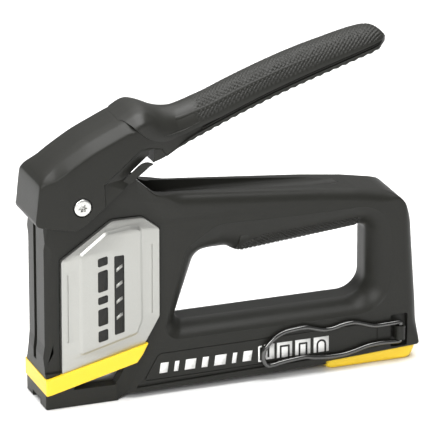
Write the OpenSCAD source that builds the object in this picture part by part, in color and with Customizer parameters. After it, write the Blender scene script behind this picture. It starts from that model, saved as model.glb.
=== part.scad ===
// Lever staple gun: two housing halves, a sprung hammer lifted by a rocker, and a slide-out magazine.
// X runs from the nose to the heel, +Y is the tool's right side, and it stands on Z = 0.

/* [Overall] */
// Length of the housing, nose face to rear face
body_l = 199; // [180:1:240]
// Width of the housing over its two halves
body_w = 31; // [29:0.5:38]
// Height of the handle bar's top at its rear end
deck_h = 94.5; // [90:0.5:110]
// Wall thickness of the housing halves
wall = 2.5; // [2:0.1:3.2]

/* [Hand opening] */
// X of the opening's lower front corner
opening_x = 64.5; // [64:0.5:70]
// Thickness of the rear column behind the opening
column_t = 24.5; // [20:0.5:30]
// Z of the opening's floor
floor_z = 32.5; // [31:0.5:36]
// Z of the opening's roof at the rear
roof_z = 75; // [72:0.5:77]

/* [Nose] */
// Length of the nose chamber that holds the drive
nose_l = 62; // [61:0.5:64]
// Width of the nose face between its two chamfers
nose_face_w = 18.4; // [14:0.2:24]
// Length of the nose's corner chamfers
nose_chamfer = 5.5; // [3:0.1:8]
// Thickness of the silver side plates
plate_t = 1.5; // [1:0.1:2.5]
// Length of the foot under the nose
foot_l = 42; // [36:0.5:50]
// Thickness of the yellow nose band
band_t = 1.4; // [1:0.1:2]

/* [Lever] */
// Gap between the housing's side faces and the head's cheeks
cheek_gap = 0.8; // [0.6:0.1:1.2]
// Thickness of the head's two cheeks
cheek_t = 3; // [2.5:0.1:4]
// Width of the soft grip
grip_w = 22; // [18:0.5:28]
// Thickness of the soft grip over the lever's arm
grip_t = 2; // [1.5:0.1:3]
// X of the lever's pivot
pivot_x = 17.8; // [16:0.1:20]
// Z of the lever's pivot
pivot_z = 106.3; // [105:0.1:108]
// Diameter of the pivot screws' shanks
pivot_d = 6; // [5:0.1:7]
// Swing of the lever, in degrees
lever_swing = 22; // [15:1:24]

/* [Drive] */
// Width of the hammer
hammer_w = 17; // [14:0.5:18]
// Height of the hammer's underside at rest
hammer_z = 68; // [67:0.5:69]
// Wire diameter of the main spring
main_wire_d = 2; // [1.5:0.1:2.4]
// Outside diameter of the main spring
main_spring_d = 13; // [11:0.5:14]
// Diameter of the rocker's pin
rocker_pin_d = 5; // [4:0.1:5.6]
// Diameter of the lever's push roller
roller_d = 8; // [7:0.1:8.4]
// Diameter of the push roller's pin
roller_pin_d = 3; // [2.5:0.1:3.6]

/* [Magazine] */
// Width of the inner rail that the staples straddle
rail_w = 9.8; // [8:0.1:10.4]
// Height of the inner rail
rail_h = 11.3; // [9:0.1:12]
// Thickness of the magazine's sheet steel
sheet_t = 1; // [0.8:0.1:1.2]
// Length of the yellow heel
heel_l = 50.5; // [42:0.5:58]
// Height of the yellow heel at its front end
heel_h = 4.6; // [4.2:0.1:5.6]
// How much taller the yellow heel is at the rear
heel_rise = 2.4; // [0:0.1:2.8]
// Diameter of the pusher's guide rod
rod_d = 2.4; // [2:0.1:2.8]

/* [Belt hook] */
// Wire diameter of the belt hook
hook_wire_d = 2.7; // [2:0.1:3]
// Distance between the hook's two hinge ends and the rear face
hook_setback = 11; // [9:0.1:13]

/* [Fits] */
// Radial clearance of a shaft that turns or slides
run_gap = 0.06; // [0.02:0.01:0.1]
// Gap between pieces that move past each other
free_gap = 0.35; // [0.3:0.05:0.6]

/* [Hidden] */
$fn = 48;

// How far the lever's head stands out in front of the nose face
head_front = 5.5;
mid_x = (body_l - head_front) / 2;
half_w = body_w / 2;
head_w = body_w + 2 * (cheek_gap + cheek_t);
column_x = body_l - column_t;
chamber_w = body_w - 2 * 4.2;
plate_y = half_w + plate_t;
eps = 0.02;

charcoal = "#3a3a37";
soft_black = "#2d2d2b";
silver = "#c4c4c0";
yellow = "#ecc52c";
steel = "#9a9c9e";
chrome = "#d8d9da";

// ---- helpers ----

// Everything is laid out from the nose face and then centred along X.
module centred() {
    translate([-mid_x, 0, 0]) children();
}

// A side outline in X and Z, given thickness along Y between y0 and y1.
module side_slab(points, y0, y1) {
    translate([0, y1, 0]) rotate([90, 0, 0]) linear_extrude(y1 - y0) polygon(points);
}

// A rod along Y between y0 and y1.
module y_rod(x, z, d, y0, y1) {
    translate([x, y1, z]) rotate([90, 0, 0]) cylinder(d = d, h = y1 - y0);
}

// Mirrors its children to the right side and keeps them on the left too.
module both_sides() {
    children();
    mirror([0, 1, 0]) children();
}

// Corner points replaced by arcs: each corner is [x, z, radius].
function unit(v) = v / norm(v);
function corner_arc(a, b, c, r) =
    let (
        u = unit([a.x - b.x, a.y - b.y]),
        v = unit([c.x - b.x, c.y - b.y]),
        half = acos(u * v) / 2,
        reach = r / tan(half),
        hub = [b.x, b.y] + unit(u + v) * r / sin(half),
        p = [b.x, b.y] + u * reach - hub,
        q = [b.x, b.y] + v * reach - hub,
        a0 = atan2(p.y, p.x),
        turn = atan2(p.x * q.y - p.y * q.x, p * q),
        steps = max(2, ceil(abs(turn) / 15))
    )
    [for (i = [0 : steps]) hub + r * [cos(a0 + turn * i / steps), sin(a0 + turn * i / steps)]];
function rounded(corners) = [
    for (i = [0 : len(corners) - 1])
        let (
            n = len(corners),
            b = corners[i],
            a = corners[(i + n - 1) % n],
            c = corners[(i + 1) % n],
            arc = b.z > 0 ? corner_arc(a, b, c, b.z) : [[b.x, b.y]]
        )
        each arc
];

// A wire of round section along a list of points, as one closed skin.
function path_dir(path, i) =
    unit(path[min(i + 1, len(path) - 1)] - path[max(i - 1, 0)]);
function ring_at(path, i, r, sides, up) =
    let (t = path_dir(path, i), s = unit(cross(t, up)), w = cross(s, t))
    [for (k = [0 : sides - 1]) path[i] + r * (cos(360 * k / sides) * s + sin(360 * k / sides) * w)];
module wire(path, r, sides, up = [0, 0, 1]) {
    n = len(path);
    skin = [for (i = [0 : n - 1]) each ring_at(path, i, r, sides, up)];
    walls = [for (i = [0 : n - 2], k = [0 : sides - 1])
        let (a = i * sides + k, b = i * sides + (k + 1) % sides)
        each [[a, b, b + sides], [a, b + sides, a + sides]]];
    first = [for (k = [sides - 1 : -1 : 0]) k];
    last = [for (k = [0 : sides - 1]) (n - 1) * sides + k];
    polyhedron(skin, concat(walls, [first, last]), convexity = 6);
}

// A coil along +Z, from its lower end to its upper end.
module coil(d, wire_d, length, turns, per_turn = 14, sides = 7) {
    r = (d - wire_d) / 2;
    rise = length - wire_d;
    steps = turns * per_turn;
    path = [for (i = [0 : steps])
        let (a = 360 * turns * i / steps)
        [r * cos(a), r * sin(a), wire_d / 2 + rise * i / steps]];
    wire(path, wire_d / 2, sides);
}

// ---- drive layout ----

rocker_x = 35;
rocker_z = hammer_z + 14;
rocker_arm = 20;
rocker_t = 6;
rocker_ratio = 1.3;
rocker_turn = lever_swing * rocker_ratio;
nose_tip = turned([-rocker_arm, 0], -rocker_turn / 2);
nose_points = [[-rocker_arm, -1.7], [-9, -1.7], [0, -3.6], [0, 3.6], [-9, 1.7], [-rocker_arm, 1.7]];
chassis_y = chamber_w / 2;
pin_half = chassis_y + 2;

// Centre of the push roller, at rest and after the lever has turned by a
roller_reach = [32.2, -5.8];
function turned(p, a) = [p.x * cos(a) + p.y * sin(a), p.y * cos(a) - p.x * sin(a)];
function roller_at(a) = [pivot_x, pivot_z] + turned(roller_reach, a);
// The same centre as the rocker sees it
function roller_seen(a) = turned(roller_at(a) - [rocker_x, rocker_z], -a * rocker_ratio);
// The tail's face lies under the roller's way, offset by the roller's radius and a gap
tail_from = roller_seen(lever_swing);
tail_to = roller_seen(0);
tail_dir = unit(tail_to - tail_from);
tail_down = [tail_dir.y, -tail_dir.x];
tail_face = tail_down * (roller_d / 2 + free_gap);
tail_t = 5;

// ---- housing ----

nose_top = 119;
foot_w = body_w + 2;
heel_x = body_l - heel_l;
shell_bottom = 2.7;
tunnel_top = 20;
rear_top_x = body_l - 11;

// The nose face swells forwards at its foot: upper end [z, x], then how far and up to which Z
nose_flare = [30, 0, 1.2, 25];

function housing_outline() = rounded([
    [nose_flare[1], nose_flare[0], 0],
    [-nose_flare[2], nose_flare[3], 3],
    [-nose_flare[2], 0, 1],
    [foot_l - 5.5, 0, 1],
    [foot_l, shell_bottom, 1],
    [heel_x, shell_bottom + 1, 0.6],
    [heel_x, heel_h + 0.2, 0.6],
    [body_l, heel_h + heel_rise + 0.2, 1.5],
    [body_l - 2, deck_h * 0.7, 20],
    [body_l - 3.4, deck_h - 14, 12],
    [rear_top_x, deck_h - 3.4, 10],
    [body_l - 26, deck_h, 20],
    [body_l - 56, deck_h + 3, 60],
    [80, 104.1, 60],
    [58, 106, 8],
    [46, nose_top - 2, 8],
    [38, nose_top, 4],
    [8, nose_top, 7],
    [0, nose_top - 13, 4]
]);

// The opening's roof starts behind an arch for the index finger and rises to the rear by roof_drop
arch_l = 38.5;
roof_drop = 8.5;

// The finger opening, grown outwards by g.
function opening_outline(g) = rounded([
    [opening_x - g, floor_z - g, 5 + g],
    [column_x + g, floor_z - g, 11 + g],
    [column_x + g, roof_z + g, 6 + g],
    [opening_x + arch_l, roof_z - roof_drop + g, 5],
    [opening_x + arch_l - 9, roof_z - 0.5 + g, 7],
    [opening_x + 15.6 - g, roof_z - 1.2 + g, 6 + g / 2]
]);

// The drive chamber in the nose, above a shelf that carries the bumper.
shelf_z = 58;
shelf_t = 4;
chamber_front = 3;
bumper_h = hammer_z - shelf_z - shelf_t - 0.2;
slot_w = 17.2;

module chamber() {
    y = chamber_w / 2;
    side_slab([[chamber_front, shelf_z + shelf_t], [nose_l, shelf_z + shelf_t], [nose_l, 101],
        [44, 115.5], [8, 115.5], [chamber_front, 108]], -y, y);
    // Open slot in the top, where the lever's two ears come down to the rocker
    side_slab([[30, 78], [nose_l + 8, 96], [nose_l + 10, 112], [46, 124], [30, 124]],
        -slot_w / 2, slot_w / 2);
    // Pocket that the rocker's tail swings down into
    side_slab([[56, 76], [nose_l + 1.8, 80], [nose_l + 1.8, 91], [56, 100]],
        -rocker_t / 2 - free_gap, rocker_t / 2 + free_gap);
    // Lower chamber, behind the blade's guide
    side_slab([[11, tunnel_top + 3], [53, tunnel_top + 3], [57, shelf_z], [11, shelf_z]], -y, y);
}

// The passage that the driver blade runs in, down to the nose's underside
blade_w = 12;
blade_t = 1;
blade_x = 5;
module blade_passage() {
    y = blade_w / 2 + free_gap;
    translate([blade_x - free_gap, -y, -1]) cube([blade_t + 2 * free_gap, 2 * y, shelf_z + 8]);
    translate([-1, -y, -1]) cube([4, 2 * y, 2.5]);
}

// The tunnel for the magazine's channel, with the mouth that the rail leaves by
channel_w = rail_w + 6.2;
channel_top = shell_bottom + 1 + rail_h + 3.6;
channel_x = blade_x + blade_t + free_gap;
module magazine_tunnel() {
    y = channel_w / 2;
    translate([channel_x, -y, -1]) cube([body_l - channel_x - 12, 2 * y, channel_top + 1]);
    translate([body_l - 13, -y, -1]) cube([14, 2 * y, channel_top + 1]);
}

// Hollows that leave a wall of even thickness in the handle bar and the rear column
module handle_hollows() {
    y = half_w - wall;
    side_slab(rounded([[opening_x + 18, roof_z + 5, 3], [column_x - 2, roof_z + 5, 2],
        [column_x - 2, deck_h - 8, 2], [opening_x + 18, deck_h - 4, 3]]), -y, y);
    side_slab(rounded([[column_x + 4, floor_z + 12, 3], [body_l - 5.5, floor_z + 12, 3],
        [body_l - 6.5, deck_h * 0.68, 3], [column_x + 4, deck_h * 0.68, 3]]), -y, y);
}

// The trough along the top of the handle bar, deep in front and fading out to the rear
trough_w = 13;
module top_trough() {
    y = trough_w / 2;
    side_slab([[nose_l + 5, 96], [body_l - 30, deck_h - 0.4], [body_l - 30, deck_h + 8],
        [nose_l + 5, 112]], -y, y);
}

// Places of the screws that hold the two halves together: [x, z]
screw_spots = [
    [opening_x - 9, floor_z + 13],
    [opening_x + 6, 88],
    [opening_x + 2, floor_z - 6.5],
    [(opening_x + column_x) / 2, floor_z - 6.5],
    [column_x + column_t / 2 + 1, floor_z + 8],
    [column_x + column_t / 2, deck_h - 14]
];
screw_d = 3;
screw_head_d = 6;
boss_d = 8;

module bosses() {
    for (s = screw_spots) y_rod(s.x, s.y, boss_d, -half_w + 1, half_w - 1);
}

module housing_solid() {
    intersection() {
        union() {
            side_slab(housing_outline(), -half_w, half_w);
            side_slab(rounded([[-nose_flare[2], 0, 1], [foot_l - 5.5, 0, 1], [foot_l, shell_bottom, 1],
                [foot_l, 6.5, 1], [13, 8, 1], [13, 11.6, 0], [-nose_flare[2], 8, 0]]),
                -foot_w / 2, foot_w / 2);
        }
        // Plan outline: chamfered nose corners above the band, rounded rear corners
        union() {
            translate([0, 0, 30]) linear_extrude(120) polygon([
                [0, -nose_face_w / 2], [nose_chamfer, -half_w], [body_l - 6, -half_w], [body_l, -half_w + 6],
                [body_l, half_w - 6], [body_l - 6, half_w], [nose_chamfer, half_w], [0, nose_face_w / 2]]);
            translate([0, 0, -1]) linear_extrude(31) polygon([
                [-2, -foot_w / 2], [body_l - 5, -foot_w / 2], [body_l, -half_w + 5],
                [body_l, half_w - 5], [body_l - 5, foot_w / 2], [-2, foot_w / 2]]);
        }
    }
}

// Outline of the nose's side plate
function plate_outline() = rounded([
    [6, 17.6, 0],
    [49.5, 28.6, 0],
    [58.8, 43.5, 4],
    [58.8, 88, 2],
    [47, 98.3, 6],
    [30.5, 97.6, 5],
    [6.2, 80.5, 2]
]);
function pad_outline() = rounded([
    [16.5, 27, 2],
    [46, 34, 3],
    [49, 42, 5],
    [49, 92.5, 4],
    [30, 91.8, 4],
    [16.5, 80.5, 4]
]);

// Outline of the nose band's side
function band_outline() = [
    [-band_t, 8.2], [0, 8.3], [47.5, 20.4], [52, 29.2], [6, 17.6], [-band_t, 16.3]
];

module housing() {
    difference() {
        union() {
            difference() {
                housing_solid();
                side_slab(opening_outline(0), -half_w - 1, half_w + 1);
                chamber();
                handle_hollows();
                top_trough();
            }
            bosses();
        }
        side_slab(opening_outline(0), -half_w - 1, half_w + 1);
        blade_passage();
        magazine_tunnel();
        // Seat of the nose band across the front
        side_slab([[-3, 8.1], [0, 8.3], [0, 17.6], [-3, 16]], -half_w - 1, half_w + 1);
        // Seat of the soft pad under the handle bar
        side_slab(pad_seat(0), -pad_w / 2, pad_w / 2);
        // Deep recess between the foot and the band
        both_sides() side_slab([[13, 8.6], [36, 8.6], [44.5, 18.5], [41, 18.7], [13, 11.6]],
            -foot_w / 2 - 1, -half_w + 3.5);
        // Recess for the belt hook's bracket
        bracket_box(0);
        // Bores for the lever's pivot screws
        y_rod(pivot_x, pivot_z, pivot_d, -half_w - 1, half_w + 1);
        // Bore for the rocker's pin
        y_rod(rocker_x, rocker_z, rocker_pin_d, -pin_half, pin_half);
        for (s = screw_spots) {
            y_rod(s.x, s.y, screw_d, -half_w + 4, half_w + 1);
            y_rod(s.x, s.y, screw_head_d, half_w - 3, half_w + 1);
        }
    }
}

module left_shell() color(charcoal) centred() {
    intersection() {
        housing();
        translate([-20, -60, -5]) cube([body_l + 40, 60, 150]);
    }
}

module right_shell() color(charcoal) centred() {
    intersection() {
        housing();
        translate([-20, 0, -5]) cube([body_l + 40, 60, 150]);
    }
}

// A side plate with its raised middle and two shallow grooves
module side_plate() {
    difference() {
        union() {
            side_slab(plate_outline(), -plate_y + 0.6, -half_w);
            side_slab(pad_outline(), -plate_y, -half_w);
        }
        translate([10, -plate_y, 35]) cube([0.8, 1, 36]);
        translate([54, -plate_y, 45]) cube([0.8, 1, 37]);
    }
}

module left_plate() color(silver) centred() {
    side_plate();
}

module right_plate() color(silver) centred() {
    mirror([0, 1, 0]) side_plate();
}

module nose_band() color(yellow) centred() {
    y = foot_w / 2 + 0.5;
    difference() {
        side_slab(band_outline(), -y, y);
        // The housing inside it, full width at the front
        translate([0, -half_w, 0]) cube([foot_l + 20, body_w, 40]);
    }
}

// ---- grip pad under the handle bar ----

pad_w = 18;
pad_x0 = opening_x + 46;
pad_x1 = column_x - 6;
function roof_at(x) =
    roof_z - roof_drop * (column_x - x) / (column_x - opening_x - arch_l);
function pad_seat(drop) = [
    [pad_x0, roof_at(pad_x0) - drop],
    [pad_x1, roof_at(pad_x1) - drop],
    [pad_x1, roof_at(pad_x1) + 2],
    [pad_x0, roof_at(pad_x0) + 2]
];
module handle_pad() color(soft_black) centred() {
    side_slab(pad_seat(1.2), -pad_w / 2, pad_w / 2);
}

// ---- steel chassis in the nose ----

chassis_t = 1.5;
module chassis() color(steel) centred() {
    difference() {
        union() {
            both_sides() side_slab([[chamber_front, shelf_z + shelf_t], [46, shelf_z + shelf_t],
                [58, 78], [58, 100], [44, 113], [9, 113], [chamber_front, 106]],
                -chassis_y, -chassis_y + chassis_t);
            // Front web that the blade slides behind
            translate([chamber_front, -chassis_y, shelf_z + shelf_t]) cube([chassis_t, 2 * chassis_y, 40]);
        }
        y_rod(pivot_x, pivot_z, pivot_d, -half_w, half_w);
        y_rod(rocker_x, rocker_z, rocker_pin_d, -half_w, half_w);
    }
}

// ---- main spring ----

spring_x = 14.5;
hammer_top = hammer_z + 14;
cap_t = 1.5;
cap_z = 112;
module main_spring() color(steel) centred() {
    translate([spring_x, 0, hammer_top]) coil(main_spring_d, main_wire_d, cap_z - hammer_top, 7);
}

module spring_cap() color(steel) centred() {
    half = chassis_y - chassis_t;
    difference() {
        translate([spring_x - 8, -half, cap_z]) cube([16, 2 * half, cap_t]);
        translate([spring_x, 0, cap_z - 1]) cylinder(d = 4, h = cap_t + 2);
    }
}

module hammer_bumper() color(soft_black) centred() {
    half = chassis_y - chassis_t - 0.5;
    difference() {
        translate([9, -half, shelf_z + shelf_t]) cube([17, 2 * half, bumper_h]);
        translate([17.5, 0, shelf_z]) cylinder(d = 7, h = 20);
    }
}

// ---- hammer and blade ----

slot_z = rocker_z - rocker_arm * sin(rocker_turn / 2);
hammer_x1 = 24;
module hammer() color(steel) centred() {
    y = hammer_w / 2;
    difference() {
        translate([blade_x + blade_t, -y, hammer_z]) cube([hammer_x1 - blade_x - blade_t, hammer_w, 14]);
        // Slot for the rocker's nose, flared towards the rear
        translate([11.6, -rocker_t / 2 - free_gap, slot_z - 2.9])
            cube([8, rocker_t + 2 * free_gap, 5.8]);
        translate([18.6, -rocker_t / 2 - free_gap, slot_z - 4.4])
            cube([8, rocker_t + 2 * free_gap, 8.8]);
        // Shoulder at each lower corner
        both_sides() translate([0, -y - 1, hammer_z - 1]) cube([40, 2.5, 3]);
    }
}

module driver_blade() color(chrome) centred() {
    difference() {
        translate([blade_x, -blade_w / 2, 0.6]) cube([blade_t, blade_w, hammer_top - 2.6]);
        both_sides() translate([blade_x - 1, -blade_w / 2 - eps, 0]) cube([3, 1, 30]);
    }
}

// ---- rocker, its pin and spring ----

module rocker() color(steel) centred() {
    translate([rocker_x, 0, rocker_z]) difference() {
        union() {
            y_rod(0, 0, rocker_pin_d + 6, -rocker_t / 2, rocker_t / 2);
            // Nose that lifts the hammer
            side_slab([for (p = nose_points) turned(p, -rocker_turn / 2)], -rocker_t / 2, rocker_t / 2);
            y_rod(nose_tip.x, nose_tip.y, 5, -rocker_t / 2, rocker_t / 2);
            // Tail that the push roller bears on
            side_slab([
                [0, -5],
                tail_to + tail_dir * 4 + tail_face + tail_down * tail_t,
                tail_to + tail_dir * 5 + tail_face,
                tail_from - tail_dir * 2 + tail_face,
                [0, 3]
            ], -rocker_t / 2, rocker_t / 2);
        }
        y_rod(0, 0, rocker_pin_d + 2 * run_gap, -rocker_t, rocker_t);
    }
}

module rocker_pin() color(chrome) centred() {
    y_rod(rocker_x, rocker_z, rocker_pin_d, -pin_half, pin_half);
}

module return_spring() color(steel) centred() {
    wire_d = 1.1;
    r = rocker_pin_d / 2 + wire_d;
    length = chassis_y - chassis_t - rocker_t / 2 - 1.2;
    turns = 4;
    steps = turns * 14;
    coil_path = [for (i = [0 : steps])
        let (a = 360 * turns * i / steps)
        [r * cos(a), rocker_t / 2 + 0.9 + (length - wire_d) * i / steps, -r * sin(a)]];
    leg = coil_path[len(coil_path) - 1] + [0, 0, -9];
    translate([rocker_x, 0, rocker_z]) wire(concat(coil_path, [leg]), wire_d / 2, 7, [0, 1, 0]);
}

// ---- lever ----

cheek_in = head_w / 2 - cheek_t;
ear_t = 2.4;
ear_y = rocker_t / 2 + 1.2;

neck_x = 60;
function head_outline() = rounded([
    [-head_front, 98.2, 1],
    [-head_front + 2.2, 119.9, 4],
    [3, 125.4, 30],
    [22, 137.7, 60],
    [40, 146.8, 20],
    [50, 153.2, 6],
    [neck_x, 148.6, 0],
    [neck_x, 124.4, 0],
    [53, 122.6, 0],
    [48.1, 119.5, 0],
    [30.4, 105.4, 0],
    [17, 94.3, 5],
    [-3, 97.2, 0]
]);
function head_hollow() = rounded([
    [-2.9, 80, 0],
    [-2.9, 97, 0],
    [-1, 118.4, 3],
    [22, 134.4, 40],
    [45, 147, 6],
    [neck_x - 4, 144.6, 4],
    [neck_x - 4, 80, 0]
]);

// The underside of the arm, from the neck to the tip, raised by g
tip_x = 183.5;
function underside(g) = [
    [neck_x - 2, 123.9 + g, 0],
    [69, 127.2 + g, 12],
    [82, 132.4 + g, 20],
    [120, 147.6 + g, 60],
    [150, 157.4 + g, 60],
    [177, 166 + g, 0]
];
// The seam that the soft grip ends along, from the head's hump round to the underside
arm_end = [84, 133.2, 0];
seam = [[80, 136.8, 3], [68, 133.4, 12], [neck_x, 134.4, 0]];
function grip_outline() = rounded(concat(
    [arm_end, underside(0)[3], underside(0)[4], underside(0)[5]],
    [[tip_x, 167.4, 2], [tip_x - 2, 173.6, 4], [172, 176.9, 8], [152, 173.6, 60], [122, 165.6, 60],
        [98, 156.2, 30], [84, 150.6, 14], [68, 147.4, 12], [neck_x, 148.8, 0]],
    [seam[2], seam[1], seam[0]]
));
// The arm's core inside the grip
function core_outline() = rounded(concat(
    underside(grip_t),
    [[177, 171.4, 2], [170, 174, 8], [152, 171.2, 60], [122, 163.2, 60], [98, 153.8, 30], [84, 148.2, 14],
        [68, 145, 12], [neck_x - 2, 146.6, 0]]
));
// The groove along the grip's sides, a little above its underside
groove_lift = 3;
groove_h = 2.8;
function groove_outline() = concat(
    [[88, 134.9 + groove_lift], [120, 147.6 + groove_lift], [150, 157.4 + groove_lift],
        [175, 165.4 + groove_lift]],
    [[177, 166 + groove_lift + groove_h], [150, 157.4 + groove_lift + groove_h],
        [120, 147.6 + groove_lift + groove_h], [86, 134 + groove_lift + groove_h]]
);

module lever_core() color(charcoal) centred() {
    y = head_w / 2;
    core_y = grip_w / 2 - grip_t;
    difference() {
        union() {
            intersection() {
                side_slab(head_outline(), -y, y);
                // Plan outline: chamfered front corners, waisted rear
                linear_extrude(200) polygon([
                    [-12, -y + 4.6], [-head_front, -y + 3.3], [12, -y], [56, -y], [neck_x, -grip_w / 2 - 2],
                    [neck_x, grip_w / 2 + 2], [56, y], [12, y], [-head_front, y - 3.3], [-12, y - 4.6]]);
            }
            side_slab(core_outline(), -core_y, core_y);
            // Bare part of the arm below the seam
            side_slab(rounded(concat([underside(0)[0], underside(0)[1], arm_end], seam)),
                -grip_w / 2, grip_w / 2);
        }
        side_slab(head_hollow(), -cheek_in, cheek_in);
        both_sides() {
            y_rod(pivot_x, pivot_z, bush_d, -y, -cheek_in + 1);
            y_rod(pivot_x, pivot_z, recess_d, -y - 1, -y + recess_t);
        }
    }
    // Two ears that carry the push roller
    c = roller_at(0);
    both_sides() difference() {
        union() {
            side_slab([[c.x - 5, c.y - 1], [c.x + 5, c.y], [45, 113], [45, 148.6], [34, 142.4],
                [34, 113]], -ear_y - ear_t, -ear_y);
            y_rod(c.x, c.y, 10, -ear_y - ear_t, -ear_y);
        }
        y_rod(c.x, c.y, roller_pin_d, -half_w, 0);
    }
}

module lever_grip() color(soft_black) centred() {
    core_y = grip_w / 2 - grip_t;
    difference() {
        side_slab(grip_outline(), -grip_w / 2, grip_w / 2);
        side_slab(core_outline(), -core_y, core_y);
        both_sides() side_slab(groove_outline(), -grip_w / 2 - 1, -core_y);
    }
}

bush_d = pivot_d + 2.4;
recess_d = 10;
recess_t = 1.2;
screw_head_t = 1.6;

module pivot_bushes() color(soft_black) centred() {
    both_sides() difference() {
        y_rod(pivot_x, pivot_z, bush_d, -head_w / 2 + recess_t, -half_w - 0.2);
        y_rod(pivot_x, pivot_z, pivot_d + 2 * run_gap, -head_w, 0);
    }
}

module pivot_screws() color(chrome) centred() {
    head_y = head_w / 2 - recess_t;
    both_sides() difference() {
        union() {
            y_rod(pivot_x, pivot_z, recess_d - 1.3, -head_y - screw_head_t, -head_y - 0.05);
            y_rod(pivot_x, pivot_z, pivot_d, -head_y - 0.06, -chassis_y + chassis_t);
        }
        // Six-lobed socket, kept as a plain hexagon
        translate([pivot_x, -head_y + 1, pivot_z]) rotate([90, 0, 0])
            cylinder(d = 4.4, h = screw_head_t + 2, $fn = 6);
    }
}

module push_roller() color(chrome) centred() {
    c = roller_at(0);
    half = ear_y - 0.3;
    difference() {
        y_rod(c.x, c.y, roller_d, -half, half);
        y_rod(c.x, c.y, roller_pin_d + 2 * run_gap, -half - 1, half + 1);
    }
}

module roller_pin() color(steel) centred() {
    c = roller_at(0);
    y_rod(c.x, c.y, roller_pin_d, -ear_y - ear_t, ear_y + ear_t);
}

module shell_screws() color(steel) centred() {
    for (s = screw_spots) difference() {
        union() {
            y_rod(s.x, s.y, screw_d, -half_w + 4, half_w - 3);
            y_rod(s.x, s.y, screw_head_d, half_w - 3, half_w - 0.6);
        }
        translate([s.x, half_w + 0.4, s.y]) rotate([90, 0, 0]) cylinder(d = 2.6, h = 2.4, $fn = 6);
    }
}

// ---- magazine ----

rail_z = shell_bottom + 0.7;
rail_x0 = channel_x + 1.2;
rail_x1 = body_l - 5;
rod_z = rail_z + sheet_t + 3.4;

module magazine_channel() color(steel) centred() {
    y = channel_w / 2;
    length = body_l - channel_x - 13;
    difference() {
        translate([channel_x, -y, shell_bottom + 1.1])
            cube([length, 2 * y, channel_top - shell_bottom - 1.1]);
        translate([channel_x - 1, -y + sheet_t, -1])
            cube([length + 2, 2 * (y - sheet_t), channel_top - sheet_t + 1]);
        // Two windows that show how many staples are left
        for (x = [60, 95]) translate([x, -y - 1, 9]) cube([18, sheet_t + 1.5, 3]);
    }
}

module staple_rail() color(chrome) centred() {
    y = rail_w / 2;
    difference() {
        translate([rail_x0, -y, rail_z]) cube([rail_x1 - rail_x0, rail_w, rail_h]);
        translate([rail_x0 + 2, -y + sheet_t, rail_z + sheet_t])
            cube([rail_x1 - rail_x0 - 4, rail_w - 2 * sheet_t, rail_h]);
        // Holes that the guide rod is held by
        translate([rail_x0 - 1, 0, rod_z]) rotate([0, 90, 0])
            cylinder(d = rod_d, h = rail_x1 - rail_x0 + 2);
    }
}

module pusher_rod() color(chrome) centred() {
    translate([rail_x0, 0, rod_z]) rotate([0, 90, 0]) cylinder(d = rod_d, h = rail_x1 - rail_x0);
}

pusher_x = rail_x0 + 4;
pusher_l = 18;
seat_x = rail_x1 - 13;
module rod_seat() color(steel) centred() {
    y = rail_w / 2 - sheet_t;
    difference() {
        translate([seat_x, -y, rail_z + sheet_t]) cube([3, 2 * y, 6.5]);
        translate([seat_x - 1, 0, rod_z]) rotate([0, 90, 0]) cylinder(d = rod_d, h = 5);
    }
}

module pusher() color(steel) centred() {
    y_in = rail_w / 2 + 0.2;
    y_out = y_in + 1.2;
    top = rail_z + rail_h + 0.3;
    difference() {
        union() {
            // Saddle over the rail
            difference() {
                translate([pusher_x, -y_out, rail_z + 2.5]) cube([pusher_l, 2 * y_out, top + 1.2 - rail_z - 2.5]);
                translate([pusher_x - 1, -y_in, 0]) cube([pusher_l + 2, 2 * y_in, top]);
            }
            // Tongue that rides on the guide rod inside the rail
            translate([pusher_x + 4, -2.4, rail_z + sheet_t + 0.5])
                cube([4, 4.8, top - rail_z - sheet_t]);
        }
        translate([pusher_x, 0, rod_z]) rotate([0, 90, 0])
            cylinder(d = rod_d + 2 * run_gap, h = pusher_l);
    }
}

module pusher_spring() color(steel) centred() {
    from = pusher_x + 8;
    translate([from, 0, rod_z]) rotate([0, 90, 0])
        coil(rod_d + 2.6, 0.8, seat_x - from, 22, 9, 5);
}

module heel() color(yellow) centred() {
    y = half_w - 1.5;
    difference() {
        union() {
            intersection() {
                side_slab(rounded([[heel_x + 0.3, 0, 3], [body_l - 5, 0, 1],
                    [body_l - 1, heel_h + heel_rise, 0.5], [heel_x + 0.3, heel_h, 0.5]]), -y, y);
                linear_extrude(heel_h + heel_rise + 1) polygon(rounded([[heel_x, -y, 3], [body_l, -y, 5],
                    [body_l, y, 5], [heel_x, y, 3]]));
            }
            // Upright tab that closes the rear mouth
            translate([rail_x1, -channel_w / 2 + 0.4, 1])
                cube([body_l - 0.6 - rail_x1, channel_w - 0.8, channel_top - 1.5]);
        }
        // Seat of the rail, let into the heel
        translate([heel_x - 1, -rail_w / 2, rail_z]) cube([rail_x1 - heel_x + 1, rail_w, 20]);
        translate([heel_x - 1, -channel_w / 2 - 0.3, rail_z])
            cube([heel_l - 12 + 1, channel_w + 0.6, 20]);
        // Finger grooves across the underside
        for (i = [0 : 3]) translate([heel_x + 12 + 5 * i, -y - 1, -0.6]) rotate([-90, 0, 0])
            cylinder(d = 2.4, h = 2 * y + 2);
    }
}

module heel_latch() color(steel) centred() {
    x = rail_x1 - 10.3;
    y = rail_w / 2 - sheet_t - 0.2;
    side_slab([[x + 1, rail_z + sheet_t], [x + 8, rail_z + sheet_t], [x + 8, rail_z + rail_h + 1.4],
        [x + 4.5, rail_z + rail_h + 1.4], [x + 4.5, rail_z + rail_h + 0.4], [x + 7, rail_z + rail_h - 0.2],
        [x + 7, rail_z + sheet_t + 7.5], [x + 1, rail_z + sheet_t + 7.5]], 1.5, y);
}

// ---- belt hook ----

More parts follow.
